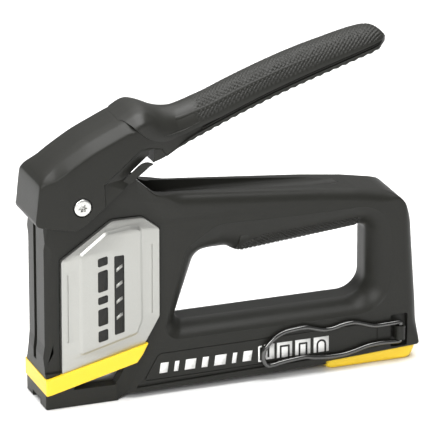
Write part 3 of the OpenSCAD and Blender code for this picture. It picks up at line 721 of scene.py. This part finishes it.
def buildBand():
    b = band
    half, front = b["half"], b["front"]
    path = []
    for side in (-1, 1):
        run = [(front + b["length"] - k * b["length"] / 18, side * half) for k in range(19)]
        path += run if side < 0 else run[::-1]
    # the front corners are small arcs
    r = b["corner"]
    left = [p for p in path[:19] if p[0] > front + r]
    right = [p for p in path[19:] if p[0] > front + r]
    arcL = [(front + r - r * math.sin(a), -half + r - r * math.cos(a)) for a in
            [math.pi / 2 * k / 4 for k in range(5)]]
    arcR = [(x, -y) for x, y in arcL[::-1]]
    cross = [(front, -half + r + (2 * half - 2 * r) * k / 10) for k in range(1, 10)]
    path = left + arcL + cross + arcR + right
    loops = []
    for x, y in path:
        lo, hi = bandHeights(max(0, x))
        onSide = abs(y) > half - 0.01
        if onSide:
            inx, iny = x, math.copysign(half - b["thick"], y)
        else:
            inx, iny = front + b["thick"], max(-half + b["thick"], min(half - b["thick"], y))
        if x > 46:  # slanted rear end
            lo = max(lo, 19.9 + (x - 47.3) * 1.9)
        lo = min(lo, hi - 0.05)
        s = b["soft"]
        loops.append([at(inx, iny, lo), at(x if onSide else x * 0.9 + inx * 0.1, y, lo),
                      at(x, y, lo + s), at(x, y, hi - s), at(x, y, hi), at(inx, iny, hi)])
    obj = lofted("nose_band_yellow", loops)
    shadeByAngle(obj, 30)
    softEdges(obj, 0.3, 40, 3)
    dress(obj, yellowPlastic, "body")
    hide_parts("nose_band")


buildBand()
print("stage: band built")


heel = {"half": 14.0, "front": 148.8, "rear": 199.2, "height": 4.8, "rise": 2.6, "grooves": 5, "softEdge": 0.25}


def buildHeel():
    half, x0, x1 = heel["half"], heel["front"], heel["rear"]
    loops = []
    plan = rounded([(x0, -half, 3.5), (x1, -half, 4.5), (x1, half, 4.5), (x0, half, 3.5)],
                   stepAngle=12, spacing=4)
    normals = outwardNormals(plan)
    # each level: share of the height, inset all round, pull forward at the rear, push back at the front
    levels = [(0.0, 1.8, 3.8, 2.2), (0.05, 1.0, 3.4, 1.4), (0.16, 0.25, 2.8, 0.7), (0.3, 0.0, 2.2, 0.2),
              (0.6, 0.0, 1.2, 0.0), (0.93, 0.0, 0.3, 0.2), (1.0, 0.3, 0.5, 0.5)]
    for share, inset, pull, push in levels:
        ring = insetRing(plan, normals, [inset] * len(plan))
        loops.append([at(p.x - pull * smooth(x1 - 12, x1, p.x) + push * (1 - smooth(x0, x0 + 7, p.x)), p.y,
                         share * (heel["height"] + heel["rise"] * (p.x - x0) / (x1 - x0))) for p in ring])
    obj = lofted("heel_yellow", loops)
    # room for the rail and the channel, and the tab that closes the tunnel
    carve(obj, [block("cut", (x0 - 2, -4.95, 3.4), (194, 4.95, 20)),
                block("cut", (x0 - 2, -8.3, 3.7), (187, 8.3, 20))])
    carve(obj, [block("tab", (194, -7.6, 1), (198.4, 7.6, 17))], "UNION")
    for k in range(heel["grooves"]):
        groove = [(160 + 5 * k + math.cos(a) * 1.3, -0.5 + math.sin(a) * 1.1)
                  for a in [math.tau * j / 16 for j in range(16)]]
        carve(obj, [prism("cut", groove, -20, 20)])
    shadeByAngle(obj, 35)
    softEdges(obj, heel["softEdge"], 45, 2)
    dress(obj, yellowPlastic, "magazine")
    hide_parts("heel")


buildHeel()
print("stage: heel built")


lever = {
    "topLine": [(-5.5, 100.6), (-5.2, 103), (-3.4, 118.2), (-2.6, 120), (-1, 121.8), (3, 124.8), (9.6, 129.4),
                (14, 132.2), (22, 136.9), (28.5, 140.0), (35, 142.9), (41, 145.5), (43.5, 146.2), (46, 145.2),
                (52, 140.6), (57, 138.2), (62, 137.0), (66, 136.8), (72.6, 137.6), (80, 140.2), (84, 142.0)],
    "lowLine": [(-5.5, 100.2), (-5.2, 98.6), (-4.4, 97.8), (-2.8, 97.2), (14.2, 94.4), (18.3, 96.0),
                (30.4, 105.4), (48.1, 119.5), (53, 122.6), (57.3, 123.8), (62.4, 125.0), (69, 127.4),
                (80, 131.8), (84, 133.4)],
    "armLine": [(62, 125.0), (72, 128.6), (82, 132.6), (92.5, 137.0), (102, 140.9), (120, 147.8),
                (141, 154.9), (162.4, 161.6), (177, 166.2), (184, 168.2)],
    "front": -5.5, "halfHead": 19.2, "halfFront": 16.2, "halfTop": 12.0, "halfNeck": 9.3, "halfCore": 9.1,
    "lowRound": 0.7, "bandDrop": 4.1, "frontDrop": 0.9, "crown": 0.7, "hollowHalf": 16.3,
    "stepDepth": 0.9, "earInner": 4.2, "earOuter": 6.6, "softEdge": 0.25,
}


def headHalfWidth(x):
    # widens over the front of the head, and narrows again along the neck
    v = lever
    cheek = v["halfFront"] + (v["halfHead"] - v["halfFront"]) * min(1.0, (x - v["front"]) / 16)
    return cheek + (v["halfNeck"] - v["halfHead"]) * smooth(46, 78, x)


def headSkin(x, z0, z1, half, hump=0.0):
    # right half of the section from the lower edge to the middle of the top: a cheek, a broad soft
    # band and a slightly crowned top; with a hump of 1 the band goes on behind the head
    v = lever
    arc, crown = v["lowRound"], v["crown"]
    lean = smooth(v["front"], 6, x) * (1 - smooth(44, 48, x) * (1 - hump))
    topHalf = half - (half - v["halfTop"]) * (0.35 + 0.65 * lean)
    drop = min(v["frontDrop"] + (v["bandDrop"] - v["frontDrop"]) * lean, (z1 - z0) * 0.4)
    knees = [(half, z0 + arc), (half, z1 - drop - 1.2), (half - 0.35, z1 - drop),
             (topHalf + 1.2, z1 - 0.55), (topHalf, z1 - 0.05), (topHalf * 0.5, z1 + crown * 0.75 * lean)]
    right = []
    for k in range(5):
        a = math.radians(-90 + 22.5 * k)
        right.append((half - arc + arc * math.cos(a), z0 + arc + arc * math.sin(a)))
    for (y0, h0), (y1, h1) in zip(knees, knees[1:]):
        right += [(y0 + (y1 - y0) * t, h0 + (h1 - h0) * t) for t in (0.25, 0.5, 0.75, 1.0)]
    # a few passes of averaging make the knees soft
    for _ in range(3):
        mid = [((a[0] + 2 * b[0] + c[0]) / 4, (a[1] + 2 * b[1] + c[1]) / 4)
               for a, b, c in zip(right[4:], right[5:], right[6:])]
        right = right[:5] + mid + right[-1:]
    return right + [(0, z1 + crown * lean)]


def headSection(x, z0, z1, half):
    right = headSkin(x, z0, z1, half)
    ring = right + [(-y, z) for y, z in right[-2::-1]]
    bottom = [(half * share, z0) for share in (-0.6, -0.2, 0.2, 0.6)]
    return [at(x, y, z) for y, z in ring + bottom]


def sectionRing(x, z0, z1, half, topR, lowR, n=10):
    # a rounded rectangle in the plane across X, counter-clockwise seen from the front
    high = z1 - z0
    topR = max(0.02, min(topR, high * 0.49, half * 0.9))
    lowR = max(0.02, min(lowR, high * 0.49, half * 0.9))
    ring = []
    for cy, cz, r, a0 in ((half - lowR, z0 + lowR, lowR, -90), (half - topR, z1 - topR, topR, 0),
                          (-half + topR, z1 - topR, topR, 90), (-half + lowR, z0 + lowR, lowR, 180)):
        for k in range(n + 1):
            a = math.radians(a0 + 90 * k / n)
            ring.append((cy + r * math.cos(a), cz + r * math.sin(a)))
    return [at(x, y, z) for y, z in ring]


def subdividedSides(ring, cuts=4):
    # cuts the four straight runs of a section into shorter pieces
    m = len(ring) // 4
    out = []
    for side in range(4):
        arc = ring[side * m:(side + 1) * m]
        out += arc
        a, b = arc[-1], ring[((side + 1) * m) % len(ring)]
        out += [a.lerp(b, k / (cuts + 1)) for k in range(1, cuts + 1)]
    return out


def stations(a, b, n):
    return [a + (b - a) * k / n for k in range(n + 1)]


grip = {
    "topLine": [(39, 145.2), (41.5, 146.7), (44, 148.2), (47, 149.9), (50.5, 151.1), (53.5, 151.1),
                (56.5, 150.2), (60.5, 148.5), (65, 147.4), (71, 147.2), (78.3, 149), (88, 152.0), (98, 156.0),
                (111.4, 161.0), (124.6, 165.5), (139.5, 169.9), (152, 172.9), (162, 175.2), (170, 176.5),
                (175, 176.7), (179, 175.7), (181.6, 173.9), (183.4, 171.2)],
    "seamLine": [(39, 147.2), (43.8, 145.2), (46.1, 143.2), (52.2, 138.0), (57.3, 135.2), (62, 133.7),
                 (66, 133.4), (72.6, 134.8), (80, 137.3), (92, 141.4)],
    "start": 39.8, "tip": 183.4, "half": 11.0, "proud": 0.35, "seamLift": 4.4, "tipFrom": 172,
    "knurlFrom": 79, "knurlTo": 181, "pitch": 2.5, "depth": 0.6, "ribPitch": 4.5, "ribDepth": 0.6,
    "beadLift": 3.3, "beadHalf": 0.4,
}


def armLow(x):
    return onCurve(lever["armLine"], x)


def gripSeam(x):
    # lower edge of the soft grip at the side; it climbs over the head's hump in front
    front, behind = onCurve(grip["seamLine"], x), armLow(x) + grip["seamLift"]
    if x < 86:
        return front
    return max(front, behind) if x < 92 else behind


def gripTop(x):
    return onCurve(grip["topLine"], x)


def buildHead():
    v = lever
    xs = stations(v["front"], -3.0, 12) + stations(-2.6, 20, 22) + stations(21, 82, 57)
    loops = [headSection(x, onLine(v["lowLine"], x), onCurve(v["topLine"], x), headHalfWidth(x)) for x in xs]
    head = lofted("lever_head", loops)
    # hollow that the nose stands in
    hollow = rounded([(-2.9, 80, 0), (-2.9, 97, 0), (-0.6, 117.6, 3), (22, 132.6, 30), (43, 141.6, 5),
                      (50, 137, 4), (56.4, 133, 2), (56.4, 80, 0)], spacing=0)
    carve(head, [prism("cut", hollow, -v["hollowHalf"], v["hollowHalf"])])
    # shallow step along the lower rear of each cheek; its slanted walls open outwards from the hub
    step = [(30.6, 103), (30.4, 106), (29.8, 116.7), (48.5, 131.6), (53.6, 131.8), (60.6, 129.6),
            (68, 120), (50, 108)]
    hub = Vector((54, 118))
    wider = [Vector(c) + (Vector(c) - hub).normalized() * 3.4 for c in step]
    for side in (-1, 1):
        inner = [at(x, side * (headHalfWidth(x) - v["stepDepth"]), z) for x, z in step]
        outer = [at(x, side * (headHalfWidth(x) + 2.4), z) for x, z in wider]
        carve(head, [lofted("cut", [inner, outer])])
        # seat for the screw's head, and the bore under it
        for radius, floor in ((5.0, 17.9), (4.2, 10)):
            y0, y1 = sorted((side * floor, side * 24))
            carve(head, [yRod("cut", pivot["x"], pivot["z"], radius, y0, y1)])
    # long core that the grip is moulded over
    loops = []
    for x in stations(70, 181, 60):
        lo = armLow(x) + 1.2
        hi = gripTop(x) - 3.0
        share = math.sqrt(max(0.05, 1 - max(0.0, (x - 170) / 13) ** 2))
        loops.append(subdividedSides(sectionRing(x, lo, hi, v["halfCore"] * share, 2.5, 0.8)))
    core = lofted("core", loops)
    carve(head, [core], "UNION")
    # two ears that carry the roller
    ear = rounded([(45.4, 96, 4), (54.6, 96, 4), (54.6, 104, 4), (44, 115, 6), (44, 143.6, 0), (34, 139, 0),
                   (34, 113, 8), (45.4, 104, 4)], spacing=0)
    for side in (-1, 1):
        y0, y1 = sorted((side * v["earInner"], side * v["earOuter"]))
        carve(head, [prism("ear", ear, y0, y1)], "UNION")
    shadeByAngle(head, 32)
    softEdges(head, v["softEdge"], 42, 2)
    dress(head, housingPlastic, "lever")
    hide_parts("lever_core")


buildHead()
print("stage: lever head built")


def gripHalfWidth(x):
    g = grip
    half = max(g["half"], headHalfWidth(x) + g["proud"])
    share = max(0.0, (x - g["tipFrom"]) / (g["tip"] + 0.5 - g["tipFrom"]))
    return half * math.sqrt(max(0.0, 1 - share ** 2.2))


def knurl(s, w, pitch):
    # crossed grooves that leave small diamonds
    a = math.sin(math.pi * (s + w) / pitch) ** 2
    b = math.sin(math.pi * (s - w) / pitch) ** 2
    return min(1.0, 2.2 * a) * min(1.0, 2.2 * b)


def gripProfile(x, lo, hi, half, count):
    # half section from the seam to the middle of the top; in front it follows the head's skin
    hug = 1 - smooth(46, 62, x)
    soft = []
    for k in range(count + 1):
        a = math.pi / 2 * k / count
        soft.append(Vector((half * math.cos(a) ** 0.92, lo + (hi - lo) * math.sin(a) ** 0.94)))
    if hug <= 0:
        return soft
    skin = [Vector(p) for p in headSkin(x, lo - 12, hi - lever["crown"], half, 1.0)]
    keep = [skin[0]]
    for p, q in zip(skin, skin[1:]):
        if q.y <= lo:
            continue
        if p.y <= lo:
            keep = [p.lerp(q, (lo - p.y) / (q.y - p.y))]
        keep.append(q)
    reach = [0.0]
    for p, q in zip(keep, keep[1:]):
        reach.append(reach[-1] + (q - p).length)
    spread = []
    i = 0
    for k in range(count + 1):
        want = reach[-1] * k / count
        while i < len(keep) - 2 and reach[i + 1] < want:
            i += 1
        span = max(1e-9, reach[i + 1] - reach[i])
        spread.append(keep[i].lerp(keep[i + 1], min(1.0, (want - reach[i]) / span)))
    return [a.lerp(b, hug) for a, b in zip(soft, spread)]


def buildGrip():
    g = grip
    xs = stations(g["start"], 82, 60) + stations(82.45, g["tip"], 225)
    count = 38
    loops = []
    for x in xs:
        hi = gripTop(x)
        lo = min(gripSeam(x), hi - 0.5)
        half = max(0.3, gripHalfWidth(x))
        profile = gripProfile(x, lo, hi, half, count)
        whole = profile + [Vector((-p.x, p.y)) for p in profile[-2::-1]]
        field = smooth(g["knurlFrom"], g["knurlFrom"] + 3, x) * (1 - smooth(g["knurlTo"] - 3, g["knurlTo"], x))
        ring = []
        for k, p in enumerate(whole):
            a = math.pi * k / (2 * count)
            c, s = math.cos(a), math.sin(a)
            around = (k / (2 * count) - 0.5) * math.pi * 0.5 * (half + hi - lo) * 1.02
            share = field * smooth(0.16, 0.3, s)
            lift = g["depth"] * share * (knurl(x * 1.08, around, g["pitch"]) - 0.75)
            ring.append(at(x, p.x, p.y) + Vector((0, c, s)) * lift * mm)
        under = profile[0].x * 0.9
        ring += [at(x, -under, lo - 0.35), at(x, 0, lo - 0.5), at(x, under, lo - 0.35)]
        loops.append(ring)
    top = lofted("grip_top", loops)
    # strip along the underside, with finger ribs across it
    loops = []
    for x in stations(64, g["tip"] - 0.2, 270):
        half = max(0.3, gripHalfWidth(x)) * 0.99
        grow = smooth(66, 82, x)
        rib = g["ribDepth"] * (0.5 + 0.5 * math.cos(math.tau * x / g["ribPitch"])) * smooth(70, 78, x)
        tip = smooth(177, g["tip"], x)
        lo = armLow(x) + tip * 1.6
        hi = min(lo + 0.3 + 2.0 * grow + tip * 5, gripTop(x) - 0.5)
        loops.append(sectionRing(x, lo + rib, hi, half, 0.8, 1.0, 5))
    strip = lofted("strip", loops)
    # bead along the groove
    loops = []
    for x in stations(84, 179, 120):
        half = max(0.3, gripHalfWidth(x))
        mid, thick = armLow(x) + g["beadLift"], g["beadHalf"]
        loops.append(sectionRing(x, mid - thick, mid + thick, half * 0.93, 0.35, 0.35, 4))
    bead = lofted("bead", loops)
    whole = joined("lever_grip_soft", [top, strip, bead])
    shadeByAngle(whole, 60)
    dress(whole, gripRubber, "lever")
    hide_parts("lever_grip")


def joined(name, parts):
    bm = bmesh.new()
    for part in parts:
        bm.from_mesh(part.data)
    mesh = bpy.data.meshes.new(name)
    bm.to_mesh(mesh)
    bm.free()
    for part in parts:
        bpy.data.objects.remove(part)
    obj = bpy.data.objects.new(name, mesh)
    bpy.context.collection.objects.link(obj)
    return obj


buildGrip()
print("stage: grip built")


handlePad = {"front": 103.0, "rear": 169.5, "reach": 0.66, "pitch": 2.4, "depth": 1.0, "taper": 14}


def buildHandlePad():
    o, v = opening, handlePad
    x0, x1 = v["front"], v["rear"]
    inner, half = o["innerHalf"], housing["halfWidth"] - o["crease"]
    across, along = 100, 200
    rows = []
    for i in range(along + 1):
        x = x0 + (x1 - x0) * i / along
        roof = o["roof"] - o["drop"] * (o["rear"] - x) / (o["rear"] - o["lip"])
        # right half of the section: the flat roof, then the flare
        line = [Vector((0, roof))] + [Vector((inner * k / 6, roof)) for k in range(1, 7)]
        for k in range(1, 25):
            share, rise = flareShape(v["reach"] * k / 24)
            line.append(Vector((inner + (half - inner) * rise, roof + (o["flareTop"] - roof) * share)))
        far = [0.0]
        for p, q in zip(line, line[1:]):
            far.append(far[-1] + (q - p).length)
        # the field starts in a rounded point at the front
        grow = math.sqrt(max(0.0, min(1.0, (x - x0) / v["taper"])))
        limit = far[-1] * (0.3 + 0.7 * grow)
        endFade = smooth(x0, x0 + 3, x) * (1 - smooth(x1 - 3, x1, x))
        row = []
        for k in range(across + 1):
            s = (-1 + 2 * k / across) * far[-1]
            j = max(0, next((n for n in range(len(far) - 1) if far[n + 1] >= abs(s)), len(far) - 2))
            t = (abs(s) - far[j]) / max(1e-9, far[j + 1] - far[j])
            p = line[j].lerp(line[j + 1], t)
            d = (line[j + 1] - line[j]).normalized()
            sideFade = 1 - smooth(limit - 1.2, limit, abs(s))
            lift = -0.4 + 0.75 * endFade * sideFade
            lift += v["depth"] * endFade * sideFade * (knurl(x, s, v["pitch"]) - 0.7)
            row.append(at(x, math.copysign(p.x + d.y * lift, s), p.y - d.x * lift))
        back = [row[-1] + Vector((0, -0.6, 1.4)) * mm, at(x, 0, roof + 1.6),
                row[0] + Vector((0, 0.6, 1.4)) * mm]
        rows.append(row + back)
    pad = lofted("handle_pad_soft", rows)
    shadeByAngle(pad, 60)
    dress(pad, gripRubber, "body")
    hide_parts("handle_pad")


buildHandlePad()
print("stage: handle pad built")


hook = {
    "hinge": 188.0, "low": 11.7, "high": 21.9, "y": -17.15, "wire": 1.2, "pin": 3.2,
    "bends": [(-7.3, 21.8), (-14.2, 21.9), (-20.4, 23.8), (-25.6, 25.2), (-31.7, 24.8), (-36.9, 23.6),
              (-42.1, 23.6), (-47.2, 25.0), (-51.6, 26.1), (-57.6, 25.9), (-63.6, 25.0), (-68.8, 22.3),
              (-73, 18.2), (-74.3, 14.9), (-74.3, 11.4), (-72.6, 8.7), (-69.6, 8.2), (-63.5, 9.2),
              (-52.3, 10.1), (-47.1, 9.2), (-40.2, 8.5), (-31.5, 8.6), (-24.6, 9.8), (-17.6, 11.5),
              (-10.6, 12.0), (-5.4, 11.8)],
}


def smoothPath(points, per=7):
    # a smooth curve through the points
    out = []
    for i in range(len(points) - 1):
        p0 = points[max(i - 1, 0)]
        p1, p2 = points[i], points[i + 1]
        p3 = points[min(i + 2, len(points) - 1)]
        for k in range(per):
            t = k / per
            out.append(0.5 * (2 * p1 + (p2 - p0) * t + (2 * p0 - 5 * p1 + 4 * p2 - p3) * t * t
                              + (3 * p1 - p0 - 3 * p2 + p3) * t ** 3))
    out.append(points[-1])
    return out


def tube(name, path, radius, sides=20):
    loops = []
    side = Vector((0, 1, 0))
    for i, p in enumerate(path):
        t = (path[min(i + 1, len(path) - 1)] - path[max(i - 1, 0)]).normalized()
        side = (side - t * side.dot(t)).normalized()
        up = t.cross(side)
        loops.append([p + (side * math.cos(math.tau * k / sides) + up * math.sin(math.tau * k / sides)) * radius
                      for k in range(sides)])
    return lofted(name, loops)


def buildHook():
    k = hook
    hx, y = k["hinge"], k["y"]
    flat = [at(hx + x, y, z) for x, z in k["bends"]]
    top = [at(hx, y, k["high"] - k["pin"]), at(hx, y, k["high"] - 1.4), at(hx - 0.25, y, k["high"] - 0.35)]
    end = [at(hx - 0.25, y, k["low"] + 0.35), at(hx, y, k["low"] + 1.4), at(hx, y, k["low"] + k["pin"])]
    path = smoothPath(top + [at(hx - 1.4, y, k["high"])] + flat + [at(hx - 1.4, y, k["low"])] + end)
    wire = tube("belt_hook_wire", path, k["wire"] * mm)
    shadeByAngle(wire, 60)
    dress(wire, wirePaintedDarkReflection, "belt_hook")
    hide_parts("belt_hook")


buildHook()
print("stage: belt hook built")


pivotScrew = {"face": 19.65, "shank": 3.0, "head": 4.35, "socket": 1.75, "lobe": 0.42, "socketDepth": 2.2}


def buildPivotScrews():
    v = pivotScrew
    x, z, face, shank, wide = pivot["x"], pivot["z"], v["face"], v["shank"], v["head"]
    steps = 48
    rings = [(shank, 9.0), (shank, 16.2), (wide, 17.6), (wide, face - 0.45), (4.0, face - 0.08), (3.4, face)]
    loops = [[at(x + r * math.cos(math.tau * k / steps), -y, z + r * math.sin(math.tau * k / steps))
              for k in range(steps)] for r, y in rings]
    left = lofted("screw", loops)
    lobes = [(x + r * math.cos(a), z + r * math.sin(a)) for r, a in
             [(v["socket"] + v["lobe"] * math.cos(6 * math.tau * k / 72), math.tau * k / 72)
              for k in range(72)]]
    carve(left, [prism("cut", lobes, -face - 1, -face + v["socketDepth"])])
    softEdges(left, 0.15, 40, 2)
    applied(left)
    right = mirroredY(left, "screw_right")
    whole = joined("pivot_screws_bright", [left, right])
    shadeByAngle(whole, 40)
    dress(whole, brightSteel, "body")
    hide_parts("pivot_screws")


buildPivotScrews()
print("stage: pivot screws built")


marks = {
    "y": -15.5, "proud": 0.09, "tileLow": 10.9, "tileSize": 8.2,
    "tiles": [(114.6, 5.5), (121.5, 8.2), (131.4, 8.2), (141.4, 8.2)],  # place and width
    "barFrom": 58.5, "barTo": 107.5, "bars": [4.2, 2.2, 5.5, 3.2, 6.0, 2.2, 4.6],
    "plateBars": [(33, 39), (41.5, 50.5), (53, 57), (59.5, 70.5), (73, 77.5)], "stripes": 4,
}


def printRing(name, ring, material, lift=0.0):
    m = marks
    obj = prism(name, ring, m["y"] - m["proud"] - lift, m["y"] + 0.3)
    return dress(obj, material, "body")


def squareRing(x, z, w, h, lean=0.0):
    return [(x, z), (x + w, z), (x + w + lean, z + h), (x + lean, z + h)]


def stapleRing(x, z, w, h, thick, roundTop):
    # an upside-down U
    outer = rounded([(x, z, 0), (x, z + h, roundTop), (x + w, z + h, roundTop), (x + w, z, 0)], 12, 0)
    n = max(0.01, roundTop - thick)
    inner = rounded([(x + w - thick, z, 0), (x + w - thick, z + h - thick, n), (x + thick, z + h - thick, n),
                     (x + thick, z, 0)], 12, 0)
    return outer + inner


def onPlate(name, ring, material, lift, sunk=0.3):
    face = -plate["padFace"]
    dress(prism(name, ring, face - lift, face + sunk), material, "body")


def buildMarks():
    m = marks
    z, s = m["tileLow"], m["tileSize"]
    # four small white tiles that show the fasteners: a brad, two staples and a round staple
    for i, (x, w) in enumerate(m["tiles"]):
        printRing("tile_%d" % i, squareRing(x, z, w, s), whitePrint)
    dark, stroke = 0.05, 1.0
    printRing("mark_brad", squareRing(116.4, z + 1.2, stroke, s - 2.4), darkPrint, dark)
    printRing("mark_wide", stapleRing(123.0, z, 5.4, s - 1.6, stroke, 0.4), darkPrint, dark)
    printRing("mark_narrow", stapleRing(133.2, z, 4.8, s - 1.6, stroke, 0.4), darkPrint, dark)
    printRing("mark_round", stapleRing(142.9, z, 5.3, s - 1.3, stroke, 2.64), darkPrint, dark)
    # bracket line in front of the tiles, and plain bars in place of a label
    printRing("mark_bracket", [(111.4, 10.2), (113.4, 10.0), (113.4, 10.8), (112.3, 11.0), (112.3, 17.8),
                               (113.4, 18.0), (113.4, 18.9), (111.4, 18.5)], whitePrint)
    widths = m["bars"]
    gap = (m["barTo"] - m["barFrom"] - sum(widths)) / (len(widths) - 1)
    x = m["barFrom"]
    for i, w in enumerate(widths):
        printRing("label_bar_%d" % i, squareRing(x, 11.6, w, 5.4, 0.8), whitePrint)
        x += w + gap
    # plain blocks beside a dark panel with slanted stripes, on the left side plate
    panel = rounded([(34.6, 36, 0.6), (39.8, 37.2, 0.6), (39.8, 78, 0.6), (34.6, 78, 0.6)], 30, 0)
    onPlate("plate_panel", panel, darkPrint, 0.06)
    for i, (low, high) in enumerate(m["plateBars"]):
        ring = rounded([(26.0, low, 0.8), (31.2, low + 1.2, 0.8), (31.2, high + 1.2, 0.8), (26.0, high, 0.8)],
                       30, 0)
        onPlate("plate_bar_%d" % i, ring, darkPrint, 0.06)
    for i in range(m["stripes"]):
        low = 44 + 8.5 * i
        ring = [(35.6, low), (38.8, low + 2.2), (38.8, low + 4.0), (35.6, low + 1.8)]
        onPlate("plate_stripe_%d" % i, ring, silverPaint, 0.1, 0.2)


buildMarks()
print("stage: marks built")


carried = {
    "steel": ["chassis", "spring_cap", "magazine_channel", "staple_rail", "rod_seat", "pusher", "heel_latch",
              "rocker", "hammer"],
    "spring": ["main_spring", "return_spring", "pusher_spring"],
    "bright": ["rocker_pin", "roller_pin", "push_roller", "driver_blade", "pusher_rod"],
    "black": ["shell_screws"],
    "rubber": ["hammer_bumper"],
    "plastic": ["pivot_bushes", "hook_bracket"],
}
finishes = {"steel": steelSheet, "spring": springSteel, "bright": brightSteel, "black": blackScrew,
            "rubber": gripRubber, "plastic": housingPlastic}
for kind, names in carried.items():
    for name in names:
        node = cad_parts[name]
        node.data.materials.clear()
        node.data.materials.append(finishes[kind])
        if kind != "spring":
            softEdges(node, 0.15, 40, 2, weld=True)
print("stage: carried-over pieces finished")


stage = {"floorHalf": 6, "worldStrength": 0.35}
camera = {"azimuth": -20.4, "elevation": 20.5, "distance": 2.4, "lens": 397, "aimX": 0.0953, "aimZ": 0.0846}
lights = {  # place, aim, size and power
    "top": ((-0.06, -0.12, 1.2), (0, 0, 0.1), (1.2, 0.8), 20),
    "left": ((-0.8, -1.1, 0.75), (0, 0, 0.08), (0.7, 0.6), 12),
    "floor_light": ((0, 0.9, 1.6), (0, 0.6, 0), (2.4, 1.6), 24),
}


def buildStage():
    size = stage["floorHalf"]
    verts = [(-size, -size, 0), (size, -size, 0), (size, size, 0), (-size, size, 0)]
    floor = meshObject("floor", [Vector(v) for v in verts], [(0, 1, 2, 3)], False)
    f = Finish("floor_white")
    tone = f.noise(2.0, 2)
    f.set(Base_Color=f.mixColour(tone, colour(0.86, 0.86, 0.855), colour(0.89, 0.89, 0.885)), Roughness=0.7)
    floor.data.materials.append(f.material)
    world = bpy.data.worlds.new("studio")
    bpy.context.scene.world = world
    world.use_nodes = True
    background = world.node_tree.nodes["Background"]
    background.inputs["Color"].default_value = (1, 1, 1, 1)
    background.inputs["Strength"].default_value = stage["worldStrength"]
    bpy.context.scene.view_settings.view_transform = "Standard"


def softBox(name, place, aim, size, power):
    light = bpy.data.lights.new(name, "AREA")
    light.shape = "RECTANGLE"
    light.size, light.size_y = size
    light.energy = power
    obj = bpy.data.objects.new(name, light)
    bpy.context.collection.objects.link(obj)
    obj.location = place
    obj.rotation_euler = (Vector(aim) - Vector(place)).to_track_quat("-Z", "Y").to_euler()


def buildCamera():
    azimuth, elevation = math.radians(camera["azimuth"]), math.radians(camera["elevation"])
    aim = Vector((noseX + camera["aimX"], 0, camera["aimZ"]))
    back = Vector((math.sin(azimuth) * math.cos(elevation), -math.cos(azimuth) * math.cos(elevation),
                   math.sin(elevation)))
    data = bpy.data.cameras.new("camera")
    data.lens = camera["lens"]
    data.sensor_width = 36
    data.clip_end = 20
    cam = bpy.data.objects.new("camera", data)
    bpy.context.collection.objects.link(cam)
    cam.location = aim + back * camera["distance"]
    cam.rotation_euler = (-back).to_track_quat("-Z", "Y").to_euler()
    bpy.context.scene.camera = cam


buildStage()
for name, setting in lights.items():
    softBox(name, *setting)
buildCamera()
print("stage: stage, light and camera set")
